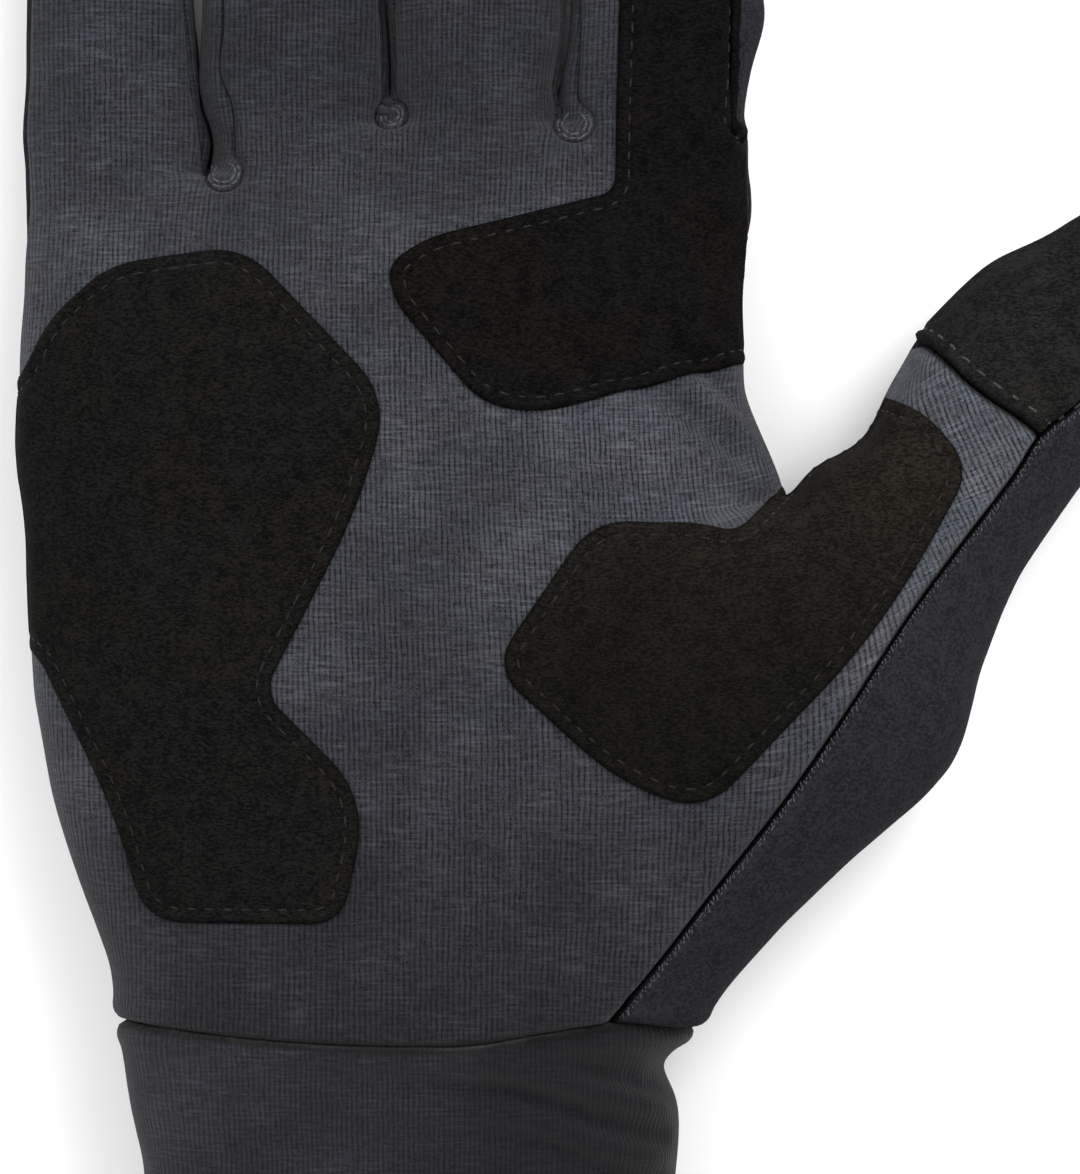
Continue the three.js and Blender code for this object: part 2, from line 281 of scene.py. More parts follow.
# The thumb and the index finger, as the CAD model places them
thumb = {"x": 60.9, "y": 8.6, "angle": 48, "breadth": 28, "length": 62}
indexFinger = {"x": 34.5, "y": 61.9, "lean": 1.8, "breadth": 23.2, "length": 74}


def thumbPlan(across, along):
    turn = math.radians(thumb["angle"])
    x = thumb["x"] + along * math.cos(turn) + across * math.sin(turn)
    y = thumb["y"] + along * math.sin(turn) - across * math.cos(turn)
    return np.array([x, y])


def indexPlan(across, along):
    turn = math.radians(indexFinger["lean"])
    x = indexFinger["x"] + across * math.cos(turn) + along * math.sin(turn)
    y = indexFinger["y"] + along * math.cos(turn) - across * math.sin(turn)
    return np.array([x, y])


def palmPlan(x, y):
    return np.array([x * glove["handBreadth"], glove["wristSeamY"] + y * glove["palmLength"]])


def roundedOutline(corners, place, steps=8):
    spots = [place(corner[0], corner[1]) for corner in corners]
    made = []
    for i, (corner, spot) in enumerate(zip(corners, spots)):
        before = spots[i - 1] - spot
        after = spots[(i + 1) % len(spots)] - spot
        roundness = corner[2] * glove["patchCorner"] if len(corner) > 2 else 0
        setback = min(roundness, 0.49 * np.linalg.norm(before), 0.49 * np.linalg.norm(after))
        start = spot + before / np.linalg.norm(before) * setback
        end = spot + after / np.linalg.norm(after) * setback
        for t in np.linspace(0, 1, steps if setback > 0 else 1):
            made.append((1 - t) ** 2 * start + 2 * t * (1 - t) * spot + t**2 * end)
    return np.array(made)


# The whole glove's outer skin

hullPlan = {
    "voxel": 0.65,
    "smoothing": 45,
    "regain": 0.33,
}

# The fingers are spread while the skin is made, so that the slits between them stay open
fingerSpread = {"slits": (-23.4, 0.2, 22.55), "step": 0.75, "from": 51, "to": 60}


def spreadFingers(points, way):
    share = smoothStep(points[:, 1], fingerSpread["from"], fingerSpread["to"])
    soft = np.maximum(1.8 * (1 - smoothStep(points[:, 1], 58, 64)), 0.02)
    shift = np.full(len(points), -1.5)
    for i, slit in enumerate(fingerSpread["slits"]):
        if way < 0:
            slit = slit + (i - 1) * fingerSpread["step"] * share
            shift += smoothStep(points[:, 0] - slit, -soft, soft)
        else:
            shift += points[:, 0] > slit
    moved = points.copy()
    moved[:, 0] += way * shift * fingerSpread["step"] * share
    return moved

panelNodes = [
    "palm_panel",
    "back_panel",
    "cuff",
    "thumb_cap",
    "fourchette_little_ring",
    "fourchette_ring_middle",
    "fourchette_middle_index",
]

# Where the slits between the fingers end, filled a little so that they end where the photo's do
crotchFills = [
    {"at": (1.1, 62.6, 10.5), "radius": 3.4},
    {"at": (22.9, 62.8, 10.5), "radius": 3.4},
]


def plugMouth(hull):
    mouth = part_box("cuff")[0].y / mm
    points = pointsOf(hull)
    ring = points[points[:, 1] < mouth + 0.1]
    deeper = ring + np.array([0, 2.5, 0])
    mesh = bpy.data.meshes.new("mouthPlug")
    mesh.from_pydata([tuple(point * mm) for point in np.vstack([ring, deeper])], [], [])
    plug = bpy.data.objects.new("mouthPlug", mesh)
    bpy.context.scene.collection.objects.link(plug)
    pick(plug)
    bpy.ops.object.mode_set(mode="EDIT")
    bpy.ops.mesh.select_all(action="SELECT")
    bpy.ops.mesh.convex_hull()
    bpy.ops.object.mode_set(mode="OBJECT")
    return plug


def joinAll(pieces, name):
    clearSelection()
    for piece in pieces:
        piece.select_set(True)
    bpy.context.view_layer.objects.active = pieces[0]
    bpy.ops.object.join()
    joined = bpy.context.object
    joined.name = name
    return joined


def keepOuterSkin(hull):
    pick(hull)
    bpy.ops.object.mode_set(mode="EDIT")
    bpy.ops.mesh.select_all(action="SELECT")
    bpy.ops.mesh.separate(type="LOOSE")
    bpy.ops.object.mode_set(mode="OBJECT")
    loose = sorted(bpy.context.selected_objects, key=lambda o: len(o.data.vertices))
    for extra in loose[:-1]:
        bpy.data.objects.remove(extra)
    return loose[-1]


def makeHull():
    hull = copyOfNodes("gloveHull", panelNodes)
    setPoints(hull, spreadFingers(pointsOf(hull), 1))
    fills = [plugMouth(hull)]
    for fill in crotchFills:
        place = Vector(fill["at"]) * mm
        bpy.ops.mesh.primitive_uv_sphere_add(radius=fill["radius"] * mm, location=place)
        bpy.ops.object.transform_apply(location=True, rotation=True, scale=True)
        fills.append(bpy.context.object)
    hull = joinAll([hull, *fills], "gloveHull")
    applyModifier(hull, "REMESH", mode="VOXEL", voxel_size=hullPlan["voxel"] * mm)
    hull = keepOuterSkin(hull)
    applyModifier(hull, "SMOOTH", factor=0.5, iterations=hullPlan["smoothing"])
    points = pointsOf(hull) + hullPlan["regain"] * normalsOf(hull)
    points = spreadFingers(points, -1)
    points[:, 2] = np.maximum(points[:, 2], 0)
    setPoints(hull, points)
    print("hull ready,", len(points), "points")
    return hull


# Soft moves in plan, so that slits and edges curve as the photo's do: where, how far, how wide
planMoves = [
    {"at": (-22.3, 61.5), "by": (1.9, 0), "width": 5},
    {"at": (0.4, 70), "by": (0.8, 0), "width": 9},
    {"at": (23.6, 78), "by": (0.8, 0), "width": 7},
    {"at": (22.6, 68.5), "by": (-0.5, 0), "width": 4},
    {"at": (48.5, 78), "by": (1.4, 0), "width": 6},
    {"at": (46.2, 65), "by": (-0.4, 0), "width": 4},
    {"at": (-45, 62), "by": (-0.8, 0), "width": 6},
    {"at": (-45, 36), "by": (-1.1, 0), "width": 9},
    {"at": (-43, 48), "by": (-0.6, 0), "width": 6},
    {"at": (-38, -24), "by": (-0.7, 0), "width": 12},
    {"at": (58, 27), "by": (1.7, -1.5), "width": 8},
    {"at": (50, 19), "by": (0.9, -0.9), "width": 5},
    {"at": (40.5, -49.5), "by": (0.9, 0), "width": 4},
    {"at": (36.2, -54.6), "by": (-1.4, 0), "width": 3.4},
    {"at": (36.5, -63), "by": (0.5, 0), "width": 6},
    {"at": (-31, -60), "by": (-0.45, 0), "width": 8},
    {"at": (-45.5, 22), "by": (-0.95, 0), "width": 10},
    {"at": (-45, 3), "by": (-0.5, 0), "width": 9},
    {"at": (49, 33), "by": (0.5, 0), "width": 5},
    {"at": (46.5, 54), "by": (0.8, 0), "width": 7},
    {"at": (48, 78), "by": (0.5, 0), "width": 5},
    {"at": (54.5, 20.5), "by": (-0.6, 0.7), "width": 4},
    {"at": (84, 50), "by": (0.5, -0.9), "width": 8},
    {"at": (71, 41), "by": (0.45, -0.65), "width": 5},
    {"at": (65, 35), "by": (0.4, -0.4), "width": 4},
    {"at": (75, -6), "by": (0.7, -0.1), "width": 13},
]

# How far each finger's flank stands back from its slit, by height up the hand; a minus closes the slit
partedSlits = [
    {
        "x": -23.4,
        "by": [(56, 0), (60, -0.25), (69, -0.3), (71, -0.15), (76.7, 0.35), (85, 0.7), (145, 1)],
        "width": 4,
    },
    {"x": 1, "by": [(60, 0), (66, -0.1), (145, 0.1)], "width": 4},
    {"x": 23.3, "by": [(60, 0), (66, -0.05), (145, 0.2)], "width": 4},
]

# Folds: points of the crease in plan, half its width and its depth; a minus depth is a ridge
folds = [
    {"line": [(46.5, 21.5), (42, 25), (35, 29), (28, 32)], "width": 1.7, "depth": 1.6},
    {"line": [(46.2, 28), (42.5, 31.5), (37, 35)], "width": 1.5, "depth": 1.5},
    {"line": [(46.5, 24.5), (42, 28), (35, 32)], "width": 1.5, "depth": -0.6},
    {"line": [(45.5, 34.5), (43.5, 37), (40, 39.5)], "width": 1.5, "depth": 0.5},
    {"line": [(-46, 46.5), (-43.5, 44), (-41, 39)], "width": 1.4, "depth": 0.5},
    {"line": [(-46, 38), (-42, 40), (-36, 41)], "width": 3.2, "depth": 0.5},
    {"line": [(4, -56), (16, -57), (27, -60.5), (36, -63)], "width": 1.9, "depth": 1.9},
    {"line": [(8, -53.5), (19, -54.2), (30, -58), (37, -60)], "width": 1.7, "depth": -1.1},
    {"line": [(10, -61), (20, -63), (29, -67), (36, -69)], "width": 2.1, "depth": 1.7},
    {"line": [(9, -58.5), (19, -60), (28, -63.8), (36, -66)], "width": 1.8, "depth": -1.1},
    {"line": [(18, -52.6), (28, -54.5), (36, -57)], "width": 1.4, "depth": 1.3},
    {"line": [(-30, -62), (-18, -65), (-6, -64)], "width": 4, "depth": 0.45},
    {"line": [(-28, -90), (-5, -84), (30, -88)], "width": 5, "depth": 0.6},
    {"line": [(-30, -78), (0, -75), (20, -79)], "width": 4, "depth": 0.4},
    {"line": [(31, -47), (35, -44), (41, -40)], "width": 1.6, "depth": 0.45},
    {"line": [(36, -47.5), (41, -43), (47, -38)], "width": 1.6, "depth": 0.35},
    {"line": [(-17.6, 60), (-20.2, 62.5), (-22.4, 61.6)], "width": 0.9, "depth": 0.45},
    {"line": [(-19, 74), (-20.6, 71), (-18.6, 67)], "width": 0.8, "depth": -0.35},
    {"line": [(-38, -30), (-20, -36), (10, -38), (26, -40)], "width": 5, "depth": 0.35},
]

# How the folds fade above this height, so that the back keeps its own
foldFade = {"from": 6, "to": 13}

# Long shallow swells of the filled hand
swells = [
    {"at": (-22, 36), "width": 13, "rise": 0.7},
    {"at": (4, 46), "width": 12, "rise": 0.5},
    {"at": (30, 44), "width": 11, "rise": 0.5},
    {"at": (6, 12), "width": 16, "rise": -1.2},
    {"at": (-30, -12), "width": 15, "rise": 0.6},
]


def shapeHull(hull):
    points = pointsOf(hull)
    for move in planMoves:
        away = np.hypot(points[:, 0] - move["at"][0], points[:, 1] - move["at"][1])
        points[:, :2] += bell(away, move["width"])[:, None] * np.array(move["by"])
    for slit in partedSlits:
        aside = points[:, 0] - slit["x"]
        opened = np.interp(points[:, 1], *np.array(slit["by"]).T)
        points[:, 0] += np.tanh(aside / 0.3) * bell(aside, slit["width"]) * opened
    setPoints(hull, points)
    normals = normalsOf(hull)
    lift = np.zeros(len(points))
    for swell in swells:
        away = np.hypot(points[:, 0] - swell["at"][0], points[:, 1] - swell["at"][1])
        lift += swell["rise"] * bell(away, swell["width"])
    facing = smoothStep(normals[:, 2], 0.25, 0.75)
    for fold in folds:
        line = flowing(fold["line"])
        ends = np.hypot(points[:, 0] - line[:, 0].mean(), points[:, 1] - line[:, 1].mean())
        reach = 0.75 * np.linalg.norm(line[-1] - line[0])
        crease = fold["depth"] * bell(distanceInPlan(points, line), fold["width"]) * bell(ends, reach)
        lift -= crease * facing
    lift *= smoothStep(points[:, 2], foldFade["from"], foldFade["to"])
    points += lift[:, None] * normals
    points[:, 2] = np.maximum(points[:, 2], 0)
    setPoints(hull, easeWrist(points, edgesOf(hull)))
    print("folds ready")


# Where the palm and the cuff join, the skin is smoothed so that the seam can run evenly
def easeWrist(points, edges):
    near = (np.abs(points[:, 1] + 50) < 5) & (points[:, 2] > 5)
    edges = edges[near[edges].any(1)]
    beside = np.maximum(np.bincount(edges.ravel(), minlength=len(points)), 1)[:, None]
    strength = (bell(points[:, 1] + 50, 2.4) * near)[:, None]
    for _ in range(30):
        around = np.zeros_like(points)
        np.add.at(around, edges[:, 0], points[edges[:, 1]])
        np.add.at(around, edges[:, 1], points[edges[:, 0]])
        points = points + 0.6 * strength * np.where(near[:, None], around / beside - points, 0)
    return points


# Seams that part the skin into panels

wristSeam = flowing(
    [(-60, -50), (-45, -49.2), (-31.5, -49), (-10, -50.6), (9, -51), (28.5, -48.8), (39, -50), (60, -50)]
)

# along is a share of the palm's length behind the crotch, and of the thumb's length beyond it
thumbSeam = [
    (0.53, -0.9),
    (0.51, -0.57),
    (0.46, -0.39),
    (0.405, -0.22),
    (0.285, -0.015),
    (0.235, 0.3),
    (0.2, 0.42),
    (0.25, 0.6),
    (0.27, 1.3),
]

# Where the cap is hemmed, as shares of the thumb's length at its inner side and its middle
capHem = {
    "inner": 0.388,
    "middle": 0.4065,
    "roll": 0.45,
    "pinch": 0.3,
    "stitchesAt": 2.0,
    "rollAt": 0.95,
    "rollWidth": 0.75,
    "pinchWidth": 0.4,
}

# The strips between the fingers: the slit's line in plan, and how far the strip shows on each side of it
fourchettePlans = [
    {
        "name": "fourchette_little_ring",
        "slit": [(-19.7, 57.6), (-20.9, 58.8), (-22, 62.5), (-22.9, 66.3), (-23.4, 69.4), (-23.6, 140)],
        "left": [(0, 0.5), (57, 0.8), (62, 0.3), (150, 0.3)],
        "right": [(0, 1.5), (58, 2.1), (65.6, 4), (69, 3.2), (72, 2.8), (76, 3.4), (90, 2.8), (150, 1.5)],
        "end": 112,
        "crotch": (-19.7, 57.4),
        "around": 2.4,
    },
    {
        "name": "fourchette_ring_middle",
        "slit": [(1.3, 64.9), (1, 68), (0.9, 90), (0.6, 140)],
        "left": [(0, 0.5), (150, 0.5)],
        "right": [(0, 0.5), (150, 0.5)],
        "end": 120,
        "crotch": (1.3, 64.9),
        "around": 1.9,
    },
    {
        "name": "fourchette_middle_index",
        "slit": [(24, 63.8), (22.6, 67.3), (22.9, 70), (23.6, 77), (24.3, 140)],
        "left": [(0, 0.5), (150, 0.5)],
        "right": [(0, 1.2), (66, 1.9), (80, 1.2), (150, 0.6)],
        "end": 122,
        "crotch": (24.3, 63.6),
        "around": 2.5,
    },
]
stripHeights = {"low": 5, "high": 11}


def wristSide(points):
    line = np.interp(points[:, 0], wristSeam[:, 0], wristSeam[:, 1])
    straight = glove["wristSeamY"]
    line = straight + (line - straight) * smoothStep(points[:, 2], 6, 14)
    return line - points[:, 1]


thumbLine = flowing(
    [
        thumbPlan(across * thumb["breadth"], along * (glove["palmLength"] if along < 0 else thumb["length"]))
        for across, along in thumbSeam
    ]
)
outsideThumbSeam = np.vstack([thumbLine, [[400, 300], [400, -300], [0, -300]]])


def palmSide(points):
    side = -depthInside(points, outsideThumbSeam)
    height = points[:, 2] - glove["partingHeight"]
    raised = smoothStep(points[:, 0], 43.6, 44.6) * smoothStep(points[:, 1], 61.5, 63)
    return np.minimum(height - glove["backRise"] * raised, side)


def hemSide(points):
    turn = math.radians(thumb["angle"])
    x = points[:, 0] - thumb["x"]
    y = points[:, 1] - thumb["y"]
    along = x * math.cos(turn) + y * math.sin(turn)
    across = x * math.sin(turn) - y * math.cos(turn)
    slope = (capHem["middle"] - capHem["inner"]) * thumb["length"] / thumb["breadth"]
    sag = 0.35 * np.sin(across * 0.35)
    beyond = along - capHem["middle"] * thumb["length"] - across * slope - sag
    return np.minimum(beyond, across + thumb["breadth"])


def stripSide(plan, points):
    slit = np.array(plan["slit"])
    middle = np.interp(points[:, 1], slit[:, 1], slit[:, 0])
    left = np.interp(points[:, 1], *np.array(plan["left"]).T)
    right = np.interp(points[:, 1], *np.array(plan["right"]).T)
    offset = points[:, 0] - middle
    # the flanks below the top of the finger belong to the strip as far down as its lower seam
    flank = smoothStep(stripHeights["high"] + 2 - points[:, 2], 0, 3) * 2.2
    beside = np.minimum(offset + left + flank, right + flank - offset)
    beyond = points[:, 1] - plan["crotch"][1]
    before = plan["end"] - points[:, 1]
    turned = plan["around"] - np.hypot(points[:, 0] - plan["crotch"][0], points[:, 1] - plan["crotch"][1])
    field = np.maximum(np.minimum(np.minimum(beside, beyond), before), turned)
    return np.minimum(field, points[:, 2] - stripHeights["low"])


def wherePanelsAre(points):
    label = np.where(palmSide(points) > 0, 1, 0)
    label = np.where((label == 1) & (hemSide(points) > 0), 2, label)
    for i, plan in enumerate(fourchettePlans):
        label = np.where(stripSide(plan, points) > 0, 4 + i, label)
    return np.where(wristSide(points) > 0, 3, label)


def partingField(pair):
    if 3 in pair:
        return wristSide
    for i, plan in enumerate(fourchettePlans):
        if 4 + i in pair:
            return lambda points: stripSide(plan, points)
    if pair == (1, 2):
        return hemSide
    return palmSide


# Points on the parting line are moved along the skin until they lie on it
def settleOn(points, normals, field, rounds=5, most=0.62):
    tiny = 0.05
    start = points.copy()
    for _ in range(rounds):
        value = field(points)
        slope = np.empty_like(points)
        for axis in range(3):
            nudge = np.zeros(3)
            nudge[axis] = tiny
            slope[:, axis] = (field(points + nudge) - field(points - nudge)) / (2 * tiny)
        slope -= (slope * normals).sum(1)[:, None] * normals
        size = np.maximum((slope**2).sum(1), 0.15)
        moved = points - (value / size)[:, None] * slope - start
        far = np.linalg.norm(moved, axis=1)
        points = start + moved * np.minimum(1, most / np.maximum(far, 1e-9))[:, None]
    return points


panelNames = {0: "back_panel", 1: "palm_panel", 2: "thumb_cap", 3: "cuff"}
for i, plan in enumerate(fourchettePlans):
    panelNames[4 + i] = plan["name"]

seamPlan = {
    "depth": 1.0,
    "width": 0.45,
    "puff": 0.32,
    "puffAt": 1.9,
    "puffWidth": 1.1,
    "stripShare": 0.5,
    "wristDepth": 0.5,
}


def faceCorners(piece):
    count = len(piece.data.polygons)
    corners = np.empty(count * 4, dtype=np.int64)
    piece.data.polygons.foreach_get("vertices", corners)
    return corners.reshape(-1, 4)


def cleanLabels(label, faces, count):
    for _ in range(3):
        votes = np.zeros((count, 7))
        for corner in range(4):
            np.add.at(votes, (faces[:, corner], label), 1)
        around = sum(votes[faces[:, corner]] for corner in range(4))
        label = around.argmax(1)
    return label


def markPanels(hull):
    points = pointsOf(hull)
    normals = normalsOf(hull)
    faces = faceCorners(hull)
    centres = points[faces].mean(1)
    label = cleanLabels(wherePanelsAre(centres), faces, len(points))
    owners = np.zeros((len(points), 7), dtype=bool)
    for corner in range(4):
        owners[faces[:, corner], label] = True
    border = np.where(owners.sum(1) > 1)[0]
    pairs = {}
    for index in border:
        found = np.where(owners[index])[0]
        pairs.setdefault((int(found[0]), int(found[-1])), []).append(index)
    for pair, members in pairs.items():
        points[members] = settleOn(points[members], normals[members], partingField(pair))
    edges = edgesOf(hull)
    onSeam = owners.sum(1) > 1
    edges = edges[onSeam[edges].all(1)]
    beside = np.bincount(edges.ravel(), minlength=len(points))[:, None]
    inRow = (beside > 1).ravel() & (owners.sum(1) == 2)
    beside = np.maximum(beside, 1)
    for turn in range(14):
        if turn == 3:
            inRow &= owners[:, 3]
        around = np.zeros_like(points)
        np.add.at(around, edges[:, 0], points[edges[:, 1]])
        np.add.at(around, edges[:, 1], points[edges[:, 0]])
        points[inRow] = (points[inRow] + (around / beside)[inRow]) / 2
    setPoints(hull, points)
    print("panels marked,", len(border), "points on seams")
    return label, border, owners[border][:, 4:].any(1)


def sinkSeams(hull, border, beside, plan):
    points = pointsOf(hull)
    normals = normalsOf(hull)
    tree = KDTree(len(border))
    for i, index in enumerate(border):
        tree.insert(points[index], i)
    tree.balance()
    away = np.full(len(points), 99.0)
    share = np.ones(len(points))
    for i, point in enumerate(points):
        found = tree.find(point)
        away[i] = found[2]
        share[i] = plan["stripShare"] if beside[found[1]] else 1
    atWrist = smoothStep(-points[:, 1], 44, 48)
    groove = (plan["depth"] + plan["wristDepth"] * atWrist) * bell(away, plan["width"])
    lift = plan["puff"] * bell(away - plan["puffAt"], plan["puffWidth"]) - groove
    lift *= share
    beyond = hemSide(points)
    onCap = (beyond > 0) & (palmSide(points) > 0.2) & (points[:, 2] > glove["partingHeight"])
    roll = capHem["roll"] * bell(beyond - capHem["rollAt"], capHem["rollWidth"])
    roll -= capHem["pinch"] * bell(beyond - capHem["stitchesAt"], capHem["pinchWidth"])
    lift += onCap * roll
    # seamAway drives the painted seam shade: shrunk at the wrist so the shade there is wider, raised beside
    # the strips so it is fainter
    layer = hull.data.attributes.new("seamAway", "FLOAT", "POINT")
    shown = away / (1 + 0.6 * atWrist) + 0.3 * (share < 1)
    layer.data.foreach_set("value", np.minimum(shown, 10).astype(np.float32))
    points += lift[:, None] * normals
    points[:, 2] = np.maximum(points[:, 2], 0)
    setPoints(hull, points)
    print("seams sunk")
    return away


def takeFaces(source, chosen, name):
    piece = source.copy()
    piece.data = source.data.copy()
    piece.name = name
    bpy.context.scene.collection.objects.link(piece)
    pick(piece)
    bpy.ops.object.mode_set(mode="EDIT")
    bpy.ops.mesh.select_all(action="DESELECT")
    bpy.ops.object.mode_set(mode="OBJECT")
    piece.data.polygons.foreach_set("select", ~chosen)
    bpy.ops.object.mode_set(mode="EDIT")
    bpy.ops.mesh.select_mode(type="FACE")
    bpy.ops.mesh.delete(type="FACE")
    bpy.ops.mesh.select_mode(type="VERT")
    bpy.ops.object.mode_set(mode="OBJECT")
    return piece


hull = makeHull()
shapeHull(hull)
panelOf, seamPoints, besideStrip = markPanels(hull)
sinkSeams(hull, seamPoints, besideStrip, seamPlan)


# How the knit lies on a panel: u runs across the wales and v along them, in millimetres over the skin


# round tubes are laid out from a cut along their back, where the map jumps by one girth
def layKnit(piece, waleDirection, rounds=260, tubeMiddle=None):
    points = pointsOf(piece)
    normals = normalsOf(piece)
    edges = edgesOf(piece)
    level = waleDirection(points)
    levelAcross = np.stack([level[:, 1], -level[:, 0], np.zeros(len(points))], axis=1)
    wale = level - (level * normals).sum(1)[:, None] * normals
    wale /= np.maximum(np.linalg.norm(wale, axis=1), 1e-6)[:, None]
    across = np.cross(wale, normals)
    lying = smoothStep(np.abs(normals[:, 2]), 0.45, 0.8)[:, None]
    wale = lying * level + (1 - lying) * wale
    across = lying * levelAcross + (1 - lying) * across
    first = edges[:, 0]
    second = edges[:, 1]
    step = points[second] - points[first]
    count = len(points)
    if tubeMiddle is not None:
        crosses = (points[first, 0] > tubeMiddle) != (points[second, 0] > tubeMiddle)
        kept = ~(crosses & (points[first, 2] < 6))
        first = first[kept]
        second = second[kept]
        step = step[kept]
    laid = []
    for direction in (across, wale):
        wanted = (step * (direction[first] + direction[second]) / 2).sum(1)
        start = points[:, 0] if direction is across else points[:, 1]
        laid.append(relaxTo(start.copy(), first, second, wanted, count, rounds))
    layer = piece.data.uv_layers.new(name="knit")
    loops = np.empty(len(piece.data.loops), dtype=np.int64)
    piece.data.loops.foreach_get("vertex_index", loops)
    flat = np.stack([laid[0][loops], laid[1][loops]], axis=1)
    if tubeMiddle is not None:
        girth = laid[0].max() - laid[0].min()
        corners = flat[:, 0].reshape(-1, 4)
        torn = corners.max(1) - corners.min(1) > girth / 2
        corners[torn] += np.where(corners[torn] < corners[torn].mean(1)[:, None], girth, 0)
        flat[:, 0] = corners.ravel()
    layer.data.foreach_set("uv", (flat * 0.1).ravel())


def relaxTo(value, first, second, wanted, count, rounds):
    degree = np.bincount(first, minlength=count) + np.bincount(second, minlength=count)

    def pull(x):
        gap = x[second] - x[first]
        return np.bincount(second, gap, count) - np.bincount(first, gap, count)

    goal = np.bincount(second, wanted, count) - np.bincount(first, wanted, count)
    rest = goal - pull(value)
    scaled = rest / degree
    search = scaled.copy()
    size = rest @ scaled
    for _ in range(rounds):
        pulled = pull(search)
        step = size / max(search @ pulled, 1e-12)
        value += step * search
        rest -= step * pulled
        scaled = rest / degree
        grown = rest @ scaled
        search = scaled + (grown / max(size, 1e-12)) * search
        size = grown
    return value


waleLean = {"degrees": 27, "along": (-38, 6), "beside": (12, 34)}


def palmWales(points):
    turn = math.radians(thumb["angle"])
    along = (points[:, 0] - thumb["x"]) * math.cos(turn) + (points[:, 1] - thumb["y"]) * math.sin(turn)
    beside = (points[:, 1] - thumb["y"]) * math.cos(turn) - (points[:, 0] - thumb["x"]) * math.sin(turn)
    lean = math.radians(waleLean["degrees"]) * smoothStep(along, *waleLean["along"])
    lean *= 1 - smoothStep(beside, *waleLean["beside"])
    return np.stack([-np.sin(lean), np.cos(lean), np.zeros(len(points))], axis=1)


def straightWales(points):
    return np.tile(np.array([0.0, 1.0, 0.0]), (len(points), 1))


# Grip patches: each outline's corners are x, y and roundness, as shares of the palm's size

heelOutline = [
    (-0.371, 0.845, 0.8),
    (-0.455, 0.786, 1),
    (-0.492, 0.728, 0.4),
    (-0.56, 0.7),
    (-0.56, 0.43),
    (-0.472, 0.42, 0.6),
    (-0.36, 0.248, 1.6),
    (-0.316, 0.124, 1),
    (-0.047, 0.124, 0.8),
    (-0.011, 0.26, 1.4),
    (-0.154, 0.374, 0.6),
    (-0.03, 0.573, 2),
    (0.016, 0.697, 1.2),
    (-0.185, 0.865, 1),
]

indexOutline = [
    (0.011, 0.843, 0.6),
    (0.022, 0.802, 1),
    (0.14, 0.69, 0.8),
    (0.22, 0.68, 1.2),
    (0.5, 0.74),
    (0.56, 0.74),
    (0.56, 0.99),
    (0.49, 1.01),
]

# The stretch on the finger: x is a share of its breadth and y of its length
indexFingerOutline = [
    (0.44, 0.1),
    (0.44, 0.9, 0.6),
    (0.12, 0.97, 0.8),
    (-0.215, 0.9, 0.6),
    (-0.215, -0.1, 0.4),
]
indexInner = [(0.066, 0.874, 0.6)]

thumbOutline = [
    (0.153, 0.401, 1),
    (0.292, 0.565, 1),
    (0.44, 0.558, 1.6),
    (0.487, 0.548, 1.2),
    (0.577, 0.62),
    (0.66, 0.73),
    (0.698, 0.702, 0.4),
    (0.75, 0.678, 0.8),
    (0.807, 0.62, 1.2),
    (0.687, 0.451, 4),
    (0.44, 0.245, 1.2),
    (0.325, 0.28, 1.6),
]


def onPlan(corners, place, scale=(1, 1)):
    return [(place(c[0] * scale[0], c[1] * scale[1]), *c[2:]) for c in corners]


def patchOutline(corners):
    made = roundedOutline([(c[0][0], c[0][1], *c[1:]) for c in corners], lambda x, y: np.array([x, y]))
    return made


indexScale = (indexFinger["breadth"], indexFinger["length"])
patchPlans = {
    "heel_patch": patchOutline(onPlan(heelOutline, palmPlan)),
    "index_patch": patchOutline(
        onPlan(indexOutline, palmPlan)
        + onPlan(indexFingerOutline, indexPlan, indexScale)
        + onPlan(indexInner, palmPlan)
    ),
    "thumb_patch": patchOutline(onPlan(thumbOutline, palmPlan)),
}

patchForm = {
    "edge": 0.36,
    "full": 0.72,
    "shoulder": 0.5,
    "stitchInset": 1.7,
    "stitchWidth": 0.45,
    "stitchSink": 0.3,
    "thickness": 0.75,
    "sideShare": 0.15,
}


def patchDepth(outline):
    floor = glove["partingHeight"] + glove["patchMargin"]
    return lambda points: np.minimum(depthInside(points, outline), points[:, 2] - floor)


